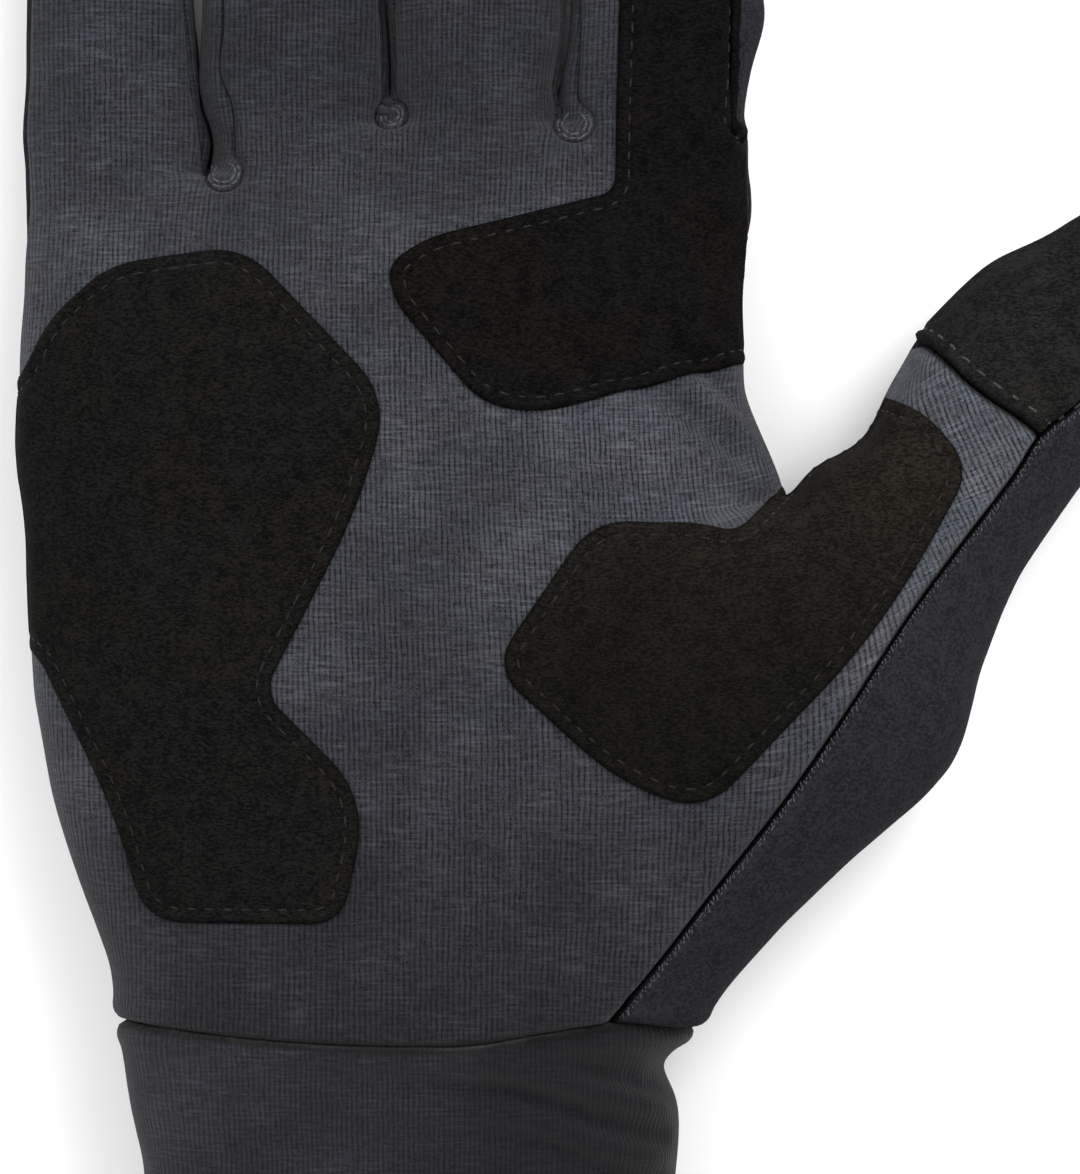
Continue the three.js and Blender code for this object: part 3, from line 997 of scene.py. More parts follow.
def makePatch(name, outline):
    field = patchDepth(outline)
    points = pointsOf(hull)
    faces = faceCorners(hull)
    centres = points[faces].mean(1)
    low = outline.min(0) - 2
    high = outline.max(0) + 2
    near = (centres[:, 0] > low[0]) & (centres[:, 0] < high[0])
    near &= (centres[:, 1] > low[1]) & (centres[:, 1] < high[1]) & (centres[:, 2] > glove["partingHeight"])
    chosen = np.zeros(len(faces), dtype=bool)
    chosen[near] = field(centres[near]) > 0
    piece = takeFaces(hull, chosen, name)
    keepBiggest(piece)
    points = pointsOf(piece)
    normals = normalsOf(piece)
    rim = rimOf(piece)
    points[rim] = settleOn(points[rim], normals[rim], field)
    setPoints(piece, points)
    applyModifier(piece, "SUBSURF", subdivision_type="CATMULL_CLARK", levels=1, render_levels=1)
    points = pointsOf(piece)
    depth = np.maximum(field(points), 0)
    lift = patchForm["edge"] + (patchForm["full"] - patchForm["edge"]) * smoothStep(
        depth, 0, patchForm["shoulder"]
    )
    lift -= patchForm["stitchSink"] * bell(depth - patchForm["stitchInset"], patchForm["stitchWidth"])
    normals = normalsOf(piece)
    lift *= patchForm["sideShare"] + (1 - patchForm["sideShare"]) * smoothStep(normals[:, 2], 0.05, 0.6)
    points += lift[:, None] * normals
    setPoints(piece, points)
    sewRow(
        name + "_stitches",
        points,
        normalsOf(piece),
        faceCorners(piece),
        depth,
        patchForm["stitchInset"],
        patchStitch,
        patchThread,
        "suede",
    )
    layer = piece.data.uv_layers.new(name="rim")
    loops = np.empty(len(piece.data.loops), dtype=np.int64)
    piece.data.loops.foreach_get("vertex_index", loops)
    layer.data.foreach_set("uv", np.stack([depth[loops] * 0.1, depth[loops] * 0], axis=1).ravel())
    applyModifier(
        piece,
        "SOLIDIFY",
        thickness=patchForm["thickness"] * mm,
        offset=-1,
        use_rim=True,
        use_quality_normals=True,
    )
    print(name, len(piece.data.polygons) * 2, "triangles")
    return piece


def keepBiggest(piece):
    name = piece.name
    pick(piece)
    bpy.ops.object.mode_set(mode="EDIT")
    bpy.ops.mesh.select_all(action="SELECT")
    bpy.ops.mesh.separate(type="LOOSE")
    bpy.ops.object.mode_set(mode="OBJECT")
    loose = sorted(bpy.context.selected_objects, key=lambda o: len(o.data.vertices))
    for extra in loose[:-1]:
        if extra is piece:
            continue
        bpy.data.objects.remove(extra)
    if loose[-1] is not piece:
        kept = loose[-1]
        old = piece.data
        piece.data = kept.data
        bpy.data.objects.remove(kept)
        bpy.data.meshes.remove(old)
    piece.name = name


def rimOf(piece):
    edges = edgesOf(piece)
    loops = np.empty(len(piece.data.loops), dtype=np.int64)
    piece.data.loops.foreach_get("edge_index", loops)
    used = np.bincount(loops, minlength=len(edges))
    return np.unique(edges[used == 1])


# Materials


def put(graph, kind, place=(0, 0), **settings):
    node = graph.nodes.new(kind)
    node.location = place
    for key, value in settings.items():
        setattr(node, key, value)
    return node


def reckon(graph, operation, first, second=None, third=None, clamp=False):
    node = put(graph, "ShaderNodeMath", operation=operation, use_clamp=clamp)
    for socket, value in zip(node.inputs, (first, second, third)):
        if value is None:
            continue
        if isinstance(value, (int, float)):
            socket.default_value = value
        else:
            graph.links.new(value, socket)
    return node.outputs[0]


def stretched(graph, vector, scale):
    node = put(graph, "ShaderNodeVectorMath", operation="MULTIPLY")
    graph.links.new(vector, node.inputs[0])
    node.inputs[1].default_value = scale
    return node.outputs[0]


def cloud(graph, vector, scale, detail=2.0, roughness=0.5, seed=0.0):
    node = put(graph, "ShaderNodeTexNoise", noise_dimensions="4D")
    graph.links.new(vector, node.inputs["Vector"])
    node.inputs["W"].default_value = seed
    node.inputs["Scale"].default_value = scale
    node.inputs["Detail"].default_value = detail
    node.inputs["Roughness"].default_value = roughness
    return node.outputs["Fac"]


def spread(graph, value, low, high, toLow=0.0, toHigh=1.0):
    node = put(graph, "ShaderNodeMapRange", interpolation_type="SMOOTHSTEP")
    graph.links.new(value, node.inputs["Value"])
    node.inputs["From Min"].default_value = low
    node.inputs["From Max"].default_value = high
    node.inputs["To Min"].default_value = toLow
    node.inputs["To Max"].default_value = toHigh
    return node.outputs["Result"]


def blendColours(graph, share, first, second, how="MIX"):
    node = put(graph, "ShaderNodeMix", data_type="RGBA", blend_type=how)
    if isinstance(share, (int, float)):
        node.inputs["Factor"].default_value = share
    else:
        graph.links.new(share, node.inputs["Factor"])
    for key, value in (("A", first), ("B", second)):
        socket = [s for s in node.inputs if s.identifier == key + "_Color"][0]
        if isinstance(value, tuple):
            socket.default_value = (*value, 1)
        else:
            graph.links.new(value, socket)
    return [s for s in node.outputs if s.identifier == "Result_Color"][0]


def makeGroup(name, inputs, outputs):
    group = bpy.data.node_groups.new(name, "ShaderNodeTree")
    for label, kind, value in inputs:
        socket = group.interface.new_socket(name=label, in_out="INPUT", socket_type=kind)
        if value is not None:
            socket.default_value = value
    for label, kind in outputs:
        group.interface.new_socket(name=label, in_out="OUTPUT", socket_type=kind)
    entry = put(group, "NodeGroupInput")
    leave = put(group, "NodeGroupOutput")
    return group, entry, leave


number = "NodeSocketFloat"
vectorKind = "NodeSocketVector"


# Fine jersey: wales, courses, heather streaks and loose fibres, over a map in tens of millimetres
def makeJerseyGroup():
    graph, entry, leave = makeGroup(
        "jersey",
        [("Map", vectorKind, None), ("Wale", number, 0.8), ("Course", number, 0.7), ("Wander", number, 0.3)],
        [("Height", number), ("Shade", number), ("Streak", number), ("Cloud", number), ("Warmth", number)],
    )
    laid = stretched(graph, entry.outputs["Map"], (10, 10, 10))
    parts = put(graph, "ShaderNodeSeparateXYZ")
    graph.links.new(laid, parts.inputs[0])
    wanderU = cloud(graph, laid, 0.35, 2, 0.5, 1.0)
    wanderV = cloud(graph, laid, 0.3, 2, 0.5, 5.0)
    shiftU = reckon(graph, "MULTIPLY", reckon(graph, "SUBTRACT", wanderU, 0.5), entry.outputs["Wander"])
    shiftV = reckon(graph, "MULTIPLY", reckon(graph, "SUBTRACT", wanderV, 0.5), entry.outputs["Wander"])
    u = reckon(graph, "DIVIDE", reckon(graph, "ADD", parts.outputs[0], shiftU), entry.outputs["Wale"])
    v = reckon(graph, "DIVIDE", reckon(graph, "ADD", parts.outputs[1], shiftV), entry.outputs["Course"])
    cord = reckon(graph, "ABSOLUTE", reckon(graph, "SINE", reckon(graph, "MULTIPLY", u, math.pi)))
    cord = reckon(graph, "POWER", cord, 0.8)
    # each cord is a column of leaning loops: the course's phase runs down on both sides of its middle
    side = reckon(graph, "PINGPONG", u, 0.5)
    phase = reckon(graph, "MULTIPLY", reckon(graph, "ADD", v, side), math.pi)
    loop = reckon(graph, "POWER", reckon(graph, "ABSOLUTE", reckon(graph, "SINE", phase)), 0.8)
    patchy = spread(graph, cloud(graph, stretched(graph, laid, (1.1, 0.22, 1)), 1.0, 2, 0.6, 9.0), 0.38, 0.66)
    cross = spread(graph, cloud(graph, stretched(graph, laid, (0.16, 1.2, 1)), 1.0, 2, 0.6, 3.0), 0.4, 0.66)
    cordPart = reckon(graph, "MULTIPLY", reckon(graph, "SUBTRACT", cord, 0.62),
                      reckon(graph, "MULTIPLY_ADD", patchy, 0.75, 0.2))
    loopPart = reckon(graph, "MULTIPLY", reckon(graph, "SUBTRACT", loop, 0.62),
                      reckon(graph, "MULTIPLY_ADD", cross, 0.4, 0.0))
    fibre = cloud(graph, laid, 4.5, 3, 0.65, 2.0)
    fleck = cloud(graph, stretched(graph, laid, (0.75, 2.6, 1)), 1.0, 3, 0.75, 7.0)
    dash = cloud(graph, stretched(graph, laid, (2.8, 0.8, 1)), 1.0, 3, 0.75, 19.0)
    fibrePart = reckon(graph, "MULTIPLY", reckon(graph, "SUBTRACT", fibre, 0.5), 1.3)
    fleckPart = reckon(graph, "MULTIPLY", reckon(graph, "SUBTRACT", fleck, 0.5), 1.15)
    dashPart = reckon(graph, "MULTIPLY", reckon(graph, "SUBTRACT", dash, 0.5), 1.15)
    fleckPart = reckon(graph, "ADD", fleckPart, dashPart)
    shade = reckon(graph, "ADD", reckon(graph, "ADD", cordPart, loopPart),
                   reckon(graph, "ADD", fibrePart, fleckPart))
    graph.links.new(reckon(graph, "MULTIPLY_ADD", shade, 1.7, 0.5, clamp=True), leave.inputs["Shade"])
    height = reckon(graph, "ADD", cordPart, reckon(graph, "MULTIPLY", loopPart, 0.6))
    fuzz = reckon(graph, "ADD", fibrePart, fleckPart)
    height = reckon(graph, "ADD", height, reckon(graph, "MULTIPLY", fuzz, 0.4))
    graph.links.new(height, leave.inputs["Height"])
    thin = cloud(graph, stretched(graph, laid, (0.24, 3.0, 1)), 1.0, 3, 0.75, 11.0)
    where = cloud(graph, laid, 0.12, 2, 0.5, 13.0)
    thick = reckon(graph, "MULTIPLY_ADD", where, 0.25, thin)
    streak = spread(graph, thick, 0.58, 0.84, 0.0, 0.85)
    streak = reckon(graph, "MULTIPLY", streak, reckon(graph, "MULTIPLY_ADD", cord, 0.7, 0.3))
    graph.links.new(streak, leave.inputs["Streak"])
    graph.links.new(cloud(graph, laid, 0.07, 3, 0.55, 17.0), leave.inputs["Cloud"])
    graph.links.new(
        cloud(graph, stretched(graph, laid, (0.1, 0.16, 1)), 1.0, 3, 0.7, 23.0), leave.inputs["Warmth"]
    )
    return graph


# Brushed nap, for suede and for the back panel: short strokes, lumps and soft mottling in millimetres
def makeNapGroup():
    graph, entry, leave = makeGroup(
        "nap",
        [("Place", vectorKind, None), ("Length", number, 1.2), ("Fineness", number, 3.4)],
        [("Height", number), ("Shade", number), ("Mottle", number)],
    )
    laid = stretched(graph, entry.outputs["Place"], (1000, 1000, 1000))
    bend = put(graph, "ShaderNodeTexNoise")
    graph.links.new(laid, bend.inputs["Vector"])
    bend.inputs["Scale"].default_value = 0.5
    bent = put(graph, "ShaderNodeVectorMath", operation="MULTIPLY_ADD")
    graph.links.new(bend.outputs["Color"], bent.inputs[0])
    bent.inputs[1].default_value = (0.9, 1.1, 0.9)
    graph.links.new(laid, bent.inputs[2])
    scale = put(graph, "ShaderNodeCombineXYZ")
    graph.links.new(entry.outputs["Length"], scale.inputs[0])
    graph.links.new(entry.outputs["Fineness"], scale.inputs[1])
    graph.links.new(entry.outputs["Length"], scale.inputs[2])
    combed = put(graph, "ShaderNodeVectorMath", operation="MULTIPLY")
    graph.links.new(bent.outputs[0], combed.inputs[0])
    graph.links.new(scale.outputs[0], combed.inputs[1])
    stroke = cloud(graph, combed.outputs[0], 1.0, 3, 0.6, 1.0)
    grain = cloud(graph, laid, 3.2, 3, 0.65, 4.0)
    lump = cloud(graph, laid, 0.45, 2, 0.5, 6.0)
    total = reckon(graph, "ADD", reckon(graph, "MULTIPLY", stroke, 0.55),
                   reckon(graph, "ADD", reckon(graph, "MULTIPLY", grain, 0.3),
                          reckon(graph, "MULTIPLY", lump, 0.15)))
    graph.links.new(spread(graph, total, 0.42, 0.59), leave.inputs["Shade"])
    graph.links.new(total, leave.inputs["Height"])
    graph.links.new(
        spread(graph, cloud(graph, laid, 0.075, 3, 0.55, 8.0), 0.36, 0.66), leave.inputs["Mottle"]
    )
    return graph


jerseyGroup = makeJerseyGroup()
napGroup = makeNapGroup()


def placeGroup(graph, group, **values):
    node = put(graph, "ShaderNodeGroup")
    node.node_tree = group
    for key, value in values.items():
        node.inputs[key].default_value = value
    return node


def bumpOf(graph, height, distance, strength):
    node = put(graph, "ShaderNodeBump")
    graph.links.new(height, node.inputs["Height"])
    node.inputs["Distance"].default_value = distance * mm
    node.inputs["Strength"].default_value = strength
    return node.outputs["Normal"]


def dullSurface(graph, roughness, specular, sheen):
    shader = graph.nodes["Principled BSDF"]
    shader.inputs["Roughness"].default_value = roughness
    shader.inputs["Specular IOR Level"].default_value = specular
    shader.inputs["Sheen Weight"].default_value = sheen
    shader.inputs["Sheen Roughness"].default_value = 0.6
    return shader


heatherKnit = {
    "dark": (0.0055, 0.0057, 0.007),
    "light": (0.06, 0.068, 0.088),
    "streak": (0.12, 0.135, 0.165),
    "wale": 0.66,
    "course": 0.6,
    "relief": 0.19,
    "warm": (1.02, 0.93, 0.88),
    # sideways and tones mix the wool's own tone with painted light and shade: lighter over the thumb's side,
    # darker towards the wrist and the finger roots
    "sideways": [
        (-50, (0.98, 0.98, 0.98)),
        (-26, (0.96, 0.96, 0.98)),
        (-15, (0.72, 0.69, 0.7)),
        (20, (0.8, 0.78, 0.78)),
        (36, (0.95, 0.94, 0.94)),
        (52, (0.98, 0.97, 0.97)),
        (60, (1.3, 1.32, 1.3)),
        (90, (1.5, 1.52, 1.48)),
    ],
    "tones": [
        (-50, (0.27, 0.24, 0.25)),
        (-22, (0.5, 0.46, 0.45)),
        (15, (0.88, 0.87, 0.86)),
        (42, (0.75, 0.74, 0.74)),
        (62, (0.44, 0.43, 0.43)),
        (80, (0.42, 0.42, 0.43)),
        (140, (0.6, 0.6, 0.62)),
    ],
}
cuffKnit = {
    "dark": (0.006, 0.006, 0.0075),
    "light": (0.0265, 0.0262, 0.0325),
    "streak": (0.048, 0.05, 0.06),
    "wale": 0.62,
    "course": 0.6,
    "relief": 0.12,
    "warm": (1.02, 0.96, 0.94),
    "tones": [(-112, (1, 1, 1)), (-50, (0.95, 0.94, 0.95))],
    # the right half of the cuff darker: painted shade of its folds
    "sideways": [
        (-36, (0.68, 0.69, 0.73)), (0, (0.66, 0.65, 0.7)), (14, (0.3, 0.29, 0.31)), (36, (0.22, 0.21, 0.23))
    ],
}


# A tone for each height on the hand, and across it when axis is 0: partly the cloth's own tone, partly
# painted light and shade
def toneAndPaintedShading(graph, tones, axis=1):
    spot = put(graph, "ShaderNodeTexCoord")
    parts = put(graph, "ShaderNodeSeparateXYZ")
    graph.links.new(spot.outputs["Object"], parts.inputs[0])
    low = tones[0][0]
    high = tones[-1][0]
    place = put(graph, "ShaderNodeMapRange")
    graph.links.new(parts.outputs[axis], place.inputs["Value"])
    place.inputs["From Min"].default_value = low * mm
    place.inputs["From Max"].default_value = high * mm
    ramp = put(graph, "ShaderNodeValToRGB")
    graph.links.new(place.outputs["Result"], ramp.inputs["Fac"])
    ramp.color_ramp.interpolation = "B_SPLINE"
    while len(ramp.color_ramp.elements) < len(tones):
        ramp.color_ramp.elements.new(0.5)
    # a ramp holds no colour above one, so its tones are scaled down and up again
    peak = max(max(tone) for _, tone in tones)
    for element, (height, tone) in zip(ramp.color_ramp.elements, tones):
        element.position = (height - low) / (high - low)
        element.color = (tone[0] / peak, tone[1] / peak, tone[2] / peak, 1)
    scaled = put(graph, "ShaderNodeVectorMath", operation="SCALE")
    graph.links.new(ramp.outputs["Color"], scaled.inputs[0])
    scaled.inputs["Scale"].default_value = peak
    return scaled.outputs[0]


# Painted shade in a seam's groove: the colour darkens close beside a seam
def paintedSeamShade(graph, colour):
    layer = put(graph, "ShaderNodeAttribute", attribute_name="seamAway")
    shade = spread(graph, layer.outputs["Fac"], 0.12, 0.62, 0.08, 1.0)
    grey = put(graph, "ShaderNodeCombineColor")
    for socket in grey.inputs[:3]:
        graph.links.new(shade, socket)
    return blendColours(graph, 1.0, colour, grey.outputs[0], "MULTIPLY")


def makeJersey(name, look):
    material, graph = makeMaterial(name)
    shader = dullSurface(graph, 0.95, 0.12, 0.06)
    layer = put(graph, "ShaderNodeUVMap", uv_map="knit")
    knit = placeGroup(graph, jerseyGroup, Wale=look["wale"], Course=look["course"], Wander=0.5)
    graph.links.new(layer.outputs[0], knit.inputs["Map"])
    wool = blendColours(graph, knit.outputs["Shade"], look["dark"], look["light"])
    wool = blendColours(graph, knit.outputs["Streak"], wool, look["streak"])
    cloudTone = spread(graph, knit.outputs["Cloud"], 0.35, 0.65, 0.82, 1.14)
    grey = put(graph, "ShaderNodeCombineColor")
    for socket in grey.inputs[:3]:
        graph.links.new(cloudTone, socket)
    wool = blendColours(graph, 1.0, wool, grey.outputs[0], "MULTIPLY")
    warmth = spread(graph, knit.outputs["Warmth"], 0.4, 0.62)
    wool = blendColours(graph, warmth, wool, blendColours(graph, 1.0, wool, look["warm"], "MULTIPLY"))
    wool = blendColours(graph, 1.0, wool, toneAndPaintedShading(graph, look["tones"]), "MULTIPLY")
    if "sideways" in look:
        wool = blendColours(graph, 1.0, wool, toneAndPaintedShading(graph, look["sideways"], 0), "MULTIPLY")
    graph.links.new(paintedSeamShade(graph, wool), shader.inputs["Base Color"])
    graph.links.new(bumpOf(graph, knit.outputs["Height"], look["relief"], 0.8), shader.inputs["Normal"])
    return material


brushedBack = {
    "dark": (0.0085, 0.0083, 0.0104),
    "light": (0.0205, 0.0197, 0.0242),
    "strokes": (1.9, 2.6),
    "relief": 0.1,
    # darker towards the wrist, partly painted shade
    "tones": [(-60, (0.85, 0.84, 0.86)), (0, (1.02, 1.01, 1.0)), (145, (1.05, 1.03, 1.02))],
}
# tones mix each suede's own tone with painted light and shade: the index patch darker near the finger roots,
# the thumb patch darker low and lighter high
suedeLooks = {
    "heel_patch": {
        "dark": (0.0015, 0.0015, 0.0015),
        "light": (0.0084, 0.0084, 0.0084),
        "tint": (0.0098, 0.0088, 0.007),
        "tones": [(-36, (0.98, 0.98, 1)), (50, (0.98, 0.98, 1))],
    },
    "index_patch": {
        "dark": (0.001, 0.001, 0.001),
        "light": (0.0058, 0.0058, 0.0059),
        "tint": (0.0078, 0.0056, 0.0047),
        "tones": [(27, (1.05, 1.05, 1.05)), (80, (0.72, 0.74, 0.76)), (135, (0.9, 0.9, 0.9))],
    },
    "thumb_patch": {
        "dark": (0.0032, 0.0028, 0.0022),
        "light": (0.0128, 0.0112, 0.0096),
        "tint": (0.0142, 0.0114, 0.0084),
        "tones": [
            (-21, (0.46, 0.52, 0.56)),
            (0, (0.62, 0.68, 0.72)),
            (20, (1.3, 1.25, 1.25)),
            (31, (1.45, 1.4, 1.4)),
        ],
    },
    "thumb_cap": {
        "dark": (0.0035, 0.0035, 0.0035),
        "light": (0.0145, 0.0146, 0.0146),
        "tint": (0.0142, 0.0134, 0.0124),
        "tones": [(24, (1, 1, 1)), (60, (1, 1, 1))],
    },
}
suedeStrokes = {"strokes": (1.5, 4.4), "relief": 0.3}


def makeNapped(name, look, rim=False):
    material, graph = makeMaterial(name)
    shader = dullSurface(graph, 0.96, 0.05, 0.0)
    spot = put(graph, "ShaderNodeTexCoord")
    nap = placeGroup(graph, napGroup, Length=look["strokes"][0], Fineness=look["strokes"][1])
    graph.links.new(spot.outputs["Object"], nap.inputs["Place"])
    pale = blendColours(graph, nap.outputs["Mottle"], look["light"], look.get("tint", look["light"]))
    colour = blendColours(graph, nap.outputs["Shade"], look["dark"], pale)
    colour = blendColours(graph, 1.0, colour, toneAndPaintedShading(graph, look["tones"]), "MULTIPLY")
    if rim:
        # painted shade along the patch's edge, where it stands proud of the knit
        layer = put(graph, "ShaderNodeUVMap", uv_map="rim")
        parts = put(graph, "ShaderNodeSeparateXYZ")
        graph.links.new(layer.outputs[0], parts.inputs[0])
        edge = spread(graph, parts.outputs[0], 0.0, 0.06, 0.65, 1.0)
        grey = put(graph, "ShaderNodeCombineColor")
        for socket in grey.inputs[:3]:
            graph.links.new(edge, socket)
        colour = blendColours(graph, 1.0, colour, grey.outputs[0], "MULTIPLY")
    else:
        colour = paintedSeamShade(graph, colour)
    graph.links.new(colour, shader.inputs["Base Color"])
    graph.links.new(bumpOf(graph, nap.outputs["Height"], look["relief"], 0.8), shader.inputs["Normal"])
    return material


palmJersey = makeJersey("heatherJersey", heatherKnit)
# the strips between the fingers are darker: painted shade where they lie between the fingers
stripJersey = makeJersey(
    "stripJersey",
    heatherKnit | {"tones": [(50, (0.5, 0.49, 0.46)), (78, (0.42, 0.42, 0.42)), (140, (0.42, 0.42, 0.44))]},
)
cuffJersey = makeJersey("cuffJersey", cuffKnit)
backBrushed = makeNapped("brushedBack", brushedBack)


# Sewing: threads follow lines of equal distance from a seam or an edge


def levelLines(points, faces, value, level):
    above = value > level
    crossed = np.where(above[faces].any(1) & ~above[faces].all(1))[0]
    links = {}
    for face in crossed:
        corners = faces[face]
        ends = []
        for a, b in zip(corners, np.roll(corners, -1)):
            if above[a] != above[b]:
                ends.append((min(a, b), max(a, b)))
        if len(ends) == 2:
            links.setdefault(ends[0], []).append(ends[1])
            links.setdefault(ends[1], []).append(ends[0])
    lines = []
    loose = sorted(key for key in links if len(links[key]) == 1)
    seen = set()
    for start in loose + sorted(links):
        if start in seen:
            continue
        line = [start]
        seen.add(start)
        while True:
            onward = [key for key in links[line[-1]] if key not in seen]
            if not onward:
                break
            line.append(onward[0])
            seen.add(onward[0])
        if len(line) > 8:
            lines.append(np.array(line))
    return lines


def placesOn(line, points, normals, value, level):
    a = line[:, 0]
    b = line[:, 1]
    share = ((level - value[a]) / (value[b] - value[a]))[:, None]
    spot = points[a] * (1 - share) + points[b] * share
    up = normals[a] * (1 - share) + normals[b] * share
    for _ in range(4):
        spot[1:-1] = (spot[:-2] + 2 * spot[1:-1] + spot[2:]) / 4
    return spot, up / np.linalg.norm(up, axis=1)[:, None]


def evenlyAlong(spot, up, spacing):
    gone = np.concatenate([[0], np.cumsum(np.linalg.norm(np.diff(spot, axis=0), axis=1))])
    count = int(gone[-1] / spacing)
    if count < 2:
        return np.empty((0, 3)), np.empty((0, 3)), np.empty((0, 3))
    at = (np.arange(count) + 0.5) * gone[-1] / count
    place = np.stack([np.interp(at, gone, spot[:, i]) for i in range(3)], axis=1)
    normal = np.stack([np.interp(at, gone, up[:, i]) for i in range(3)], axis=1)
    ahead = np.stack(
        [np.interp(at + 0.3, gone, spot[:, i]) - np.interp(at - 0.3, gone, spot[:, i]) for i in range(3)],
        axis=1,
    )
    ahead /= np.maximum(np.linalg.norm(ahead, axis=1), 1e-9)[:, None]
    return place, normal / np.linalg.norm(normal, axis=1)[:, None], ahead


# One thread showing between two holes: thick in its middle, with both ends sunk in the cloth
def addStitch(mesh, place, normal, ahead, length, radius):
    side = np.cross(normal, ahead)
    rings = [(-0.5, 0.35, -0.9), (-0.36, 0.85, 0), (0, 1, 0.35), (0.36, 0.85, 0), (0.5, 0.35, -0.9)]
    base = len(mesh["points"])
    for along, thick, rise in rings:
        middle = place + ahead * along * length + normal * rise * radius
        for turn in np.arange(6) * math.pi / 3:
            out = side * math.cos(turn) + normal * math.sin(turn)
            mesh["points"].append(middle + out * thick * radius)
    for ring in range(4):
        for i in range(6):
            a = base + ring * 6 + i
            b = base + ring * 6 + (i + 1) % 6
            mesh["faces"].append((a, b, b + 6, a + 6))
    mesh["faces"].append(tuple(base + i for i in reversed(range(6))))
    mesh["faces"].append(tuple(base + 24 + i for i in range(6)))


def finishSewing(mesh, name, material):
    made = bpy.data.meshes.new(name)
    made.from_pydata([tuple(point * mm) for point in mesh["points"]], [], mesh["faces"])
    piece = bpy.data.objects.new(name, made)
    bpy.context.scene.collection.objects.link(piece)
    pick(piece)
    bpy.ops.object.mode_set(mode="EDIT")
    bpy.ops.mesh.select_all(action="SELECT")
    bpy.ops.mesh.normals_make_consistent(inside=False)
    bpy.ops.object.mode_set(mode="OBJECT")
    bpy.ops.object.shade_smooth()
    made.materials.append(material)
    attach(piece, "root")
    print(name, len(mesh["faces"]), "faces")
    return piece


def makeThread(name, colour):
    material, graph = makeMaterial(name)
    shader = dullSurface(graph, 0.85, 0.2, 0.05)
    spot = put(graph, "ShaderNodeTexCoord")
    laid = stretched(graph, spot.outputs["Object"], (1000, 1000, 1000))
    twist = cloud(graph, laid, 3.0, 2, 0.6, 1.0)
    pale = tuple(min(1.0, 1.7 * value) for value in colour)
    dark = tuple(0.45 * value for value in colour)
    graph.links.new(
        blendColours(graph, spread(graph, twist, 0.35, 0.65), dark, pale), shader.inputs["Base Color"]
    )
    graph.links.new(bumpOf(graph, twist, 0.1, 0.5), shader.inputs["Normal"])
    return material


patchStitch = {"spacing": 2.3, "length": 1.45, "radius": 0.15, "jitter": 0.14, "sink": 0.05}


def sewRow(name, points, normals, faces, value, level, plan, material, slotName, where=None):
    mesh = {"points": [], "faces": []}
    for line in levelLines(points, faces, value, level):
        spot, up = placesOn(line, points, normals, value, level)
        place, normal, ahead = evenlyAlong(spot, up, plan["spacing"])
        for i in range(len(place)):
            if where is not None and not where(place[i]):
                continue
            turned = plan.get("lean", 0) + plan.get("stray", 0.05) * chance.standard_normal()
            lean = ahead[i] + np.cross(normal[i], ahead[i]) * turned
            lean /= np.linalg.norm(lean)
            length = plan["length"] * max(0.4, 1 + plan.get("jitter", 0.08) * chance.standard_normal())
            addStitch(
                mesh, place[i] - normal[i] * plan.get("sink", 0), normal[i], lean, length, plan["radius"]
            )
    return finishSewing(mesh, name, material)


# Panels

wall = {"mostTriangles": 175000}


def makePanel(code, material, waleDirection=None):
    name = panelNames[code]
    piece = takeFaces(hull, panelOf == code, "glove_" + name)
    if code == 3:
        openMouth(piece)
    keepBiggest(piece)
    if waleDirection:
        layKnit(piece, waleDirection, tubeMiddle=3.0 if code == 3 else None)
    giveWall(piece)
    piece.data.materials.clear()
    piece.data.materials.append(material)
    pick(piece)
    bpy.ops.object.shade_smooth()
    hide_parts(name)
    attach(piece, "root")
    piece.data.calc_loop_triangles()
    print(piece.name, len(piece.data.loop_triangles), "triangles")
    return piece


def openMouth(piece):
    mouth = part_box("cuff")[0].y / mm + 1.2
    points = pointsOf(piece)
    low = points[:, 1] < mouth
    pick(piece)
    bpy.ops.object.mode_set(mode="EDIT")
    bpy.ops.mesh.select_mode(type="VERT")
    bpy.ops.mesh.select_all(action="DESELECT")
    bpy.ops.object.mode_set(mode="OBJECT")
    piece.data.vertices.foreach_set("select", low)
    bpy.ops.object.mode_set(mode="EDIT")
    bpy.ops.mesh.delete(type="VERT")
    bpy.ops.object.mode_set(mode="OBJECT")
    points = pointsOf(piece)
    rim = rimOf(piece)
    rim = rim[points[rim, 1] < mouth + 2]
    points[rim, 1] = mouth - 1
    setPoints(piece, points)


def giveWall(piece):
    piece.vertex_groups.new(name="innerWall")
    applyModifier(
        piece,
        "SOLIDIFY",
        thickness=glove["knitWall"] * mm,
        offset=-1,
        use_rim=True,
        shell_vertex_group="innerWall",
    )
    share = min(0.7, wall["mostTriangles"] / (2 * len(piece.data.polygons)))
    applyModifier(piece, "DECIMATE", ratio=share, vertex_group="innerWall", vertex_group_factor=1.0)


patchThread = makeThread("patchThread", (0.0082, 0.0068, 0.005))
capThread = makeThread("capThread", (0.034, 0.032, 0.028))
seamThread = makeThread("seamThread", (0.046, 0.048, 0.055))

makePanel(1, palmJersey, palmWales)
makePanel(0, backBrushed)
makePanel(3, cuffJersey, straightWales)
capMaterial = makeNapped("capSuede", suedeLooks["thumb_cap"] | suedeStrokes)
makePanel(2, capMaterial)
for code in (4, 5, 6):
    makePanel(code, stripJersey, straightWales)

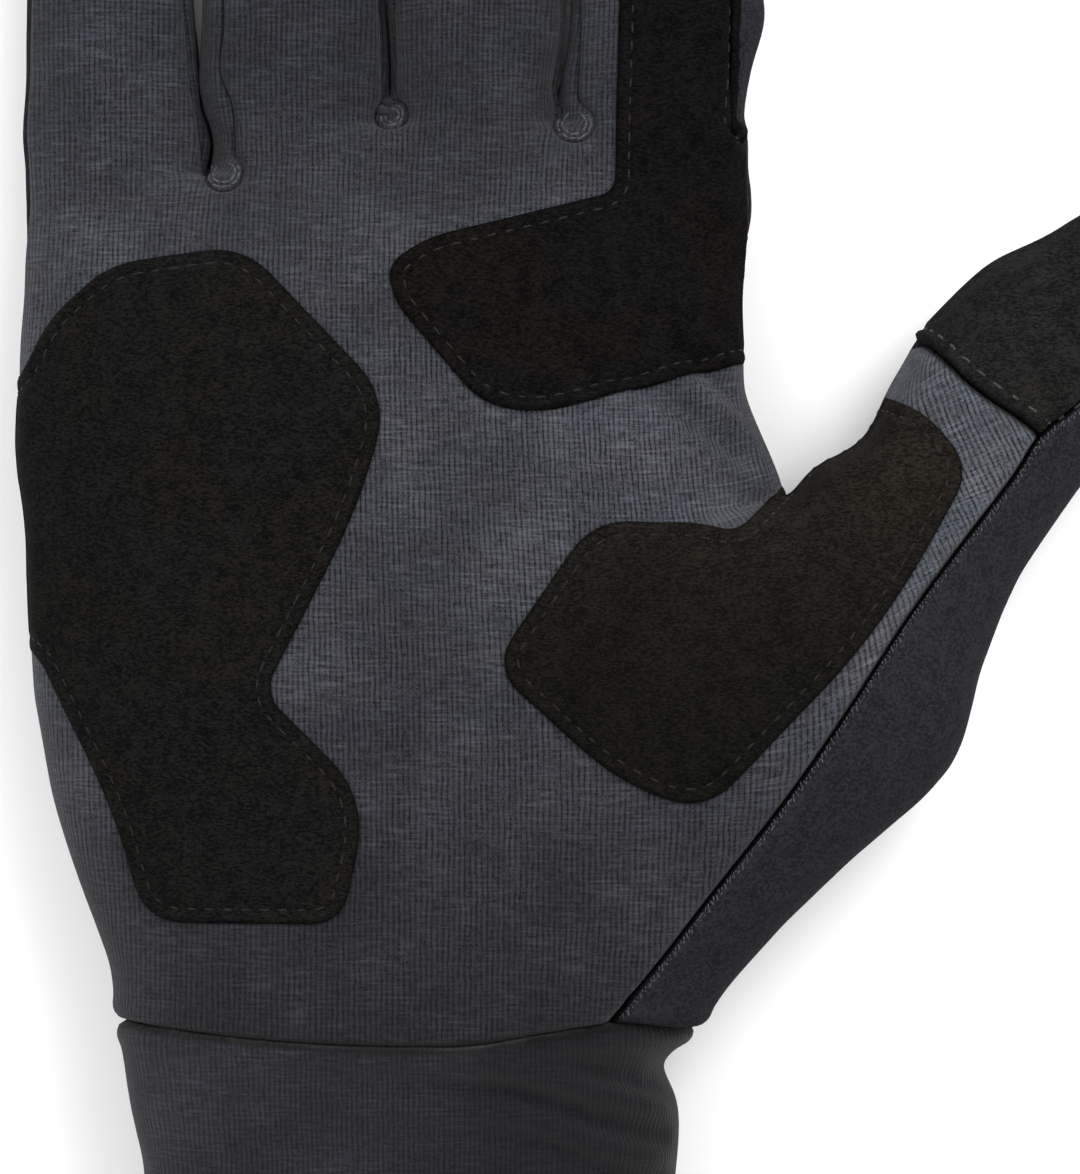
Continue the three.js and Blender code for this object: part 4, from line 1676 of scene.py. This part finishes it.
for name, outline in patchPlans.items():
    patch = makePatch(name, outline)
    patch.name = "sewn_" + name
    patch.data.materials.clear()
    patch.data.materials.append(
        makeNapped(name.split("_")[0] + "Suede", suedeLooks[name] | suedeStrokes, True)
    )
    pick(patch)
    bpy.ops.object.shade_smooth()
    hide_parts(name)
    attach(patch, "root")


# Overlock threads lie over the back panel's side of the thumb seam
overlock = {
    "spacing": 0.55, "length": 0.55, "radius": 0.095, "lean": 0.7, "jitter": 0.4, "stray": 0.6, "sink": 0.04
}
overlockRows = {"levels": (0.34, 0.62), "wider": 0.3}
skinPoints = pointsOf(hull)
skin = (skinPoints, normalsOf(hull), faceCorners(hull))
besideSeam = depthInside(skinPoints, outsideThumbSeam)
sewnAbove = glove["partingHeight"] + 1.5


def onThumbSeam(place):
    return place[2] > sewnAbove and place[1] > glove["wristSeamY"] + 2


for row, level in enumerate(overlockRows["levels"]):
    name = "thumb_seam_threads_" + str(row + 1)
    spaced = overlock | {"spacing": overlock["spacing"] + overlockRows["wider"] * row}
    sewRow(name, *skin, besideSeam, level, spaced, seamThread, "charcoal_knit", onThumbSeam)

# The cap's hem is held by one row of light stitches
capStitch = {"spacing": 2.6, "length": 1.3, "radius": 0.19, "jitter": 0.15}
pastHem = np.where(palmSide(skinPoints) > 0.3, hemSide(skinPoints), -5)
sewRow(
    "cap_hem_stitches",
    *skin,
    pastHem,
    capHem["stitchesAt"],
    capStitch,
    capThread,
    "suede",
    lambda place: place[2] > sewnAbove,
)

# Threads turn round the foot of each slit
crotchThread = {"spacing": 1.3, "length": 1.5, "radius": 0.17, "sink": 0.05}
crotchRows = {"levels": (0.4, 0.95), "height": 12, "above": 1.2, "beside": 4}


def aboutCrotch(place, foot):
    near = place[1] < foot[1] + crotchRows["above"] and abs(place[0] - foot[0]) < crotchRows["beside"]
    return near and place[2] > crotchRows["height"]


for plan in fourchettePlans:
    offset = stripSide(plan, skinPoints)
    foot = plan["crotch"]
    for row, level in enumerate(crotchRows["levels"]):
        name = plan["name"] + "_threads_" + str(row + 1)
        where = lambda place: aboutCrotch(place, foot)
        sewRow(name, *skin, offset, level, crotchThread, seamThread, "heather_knit", where)

bpy.data.objects.remove(hull)
bpy.context.view_layer.update()
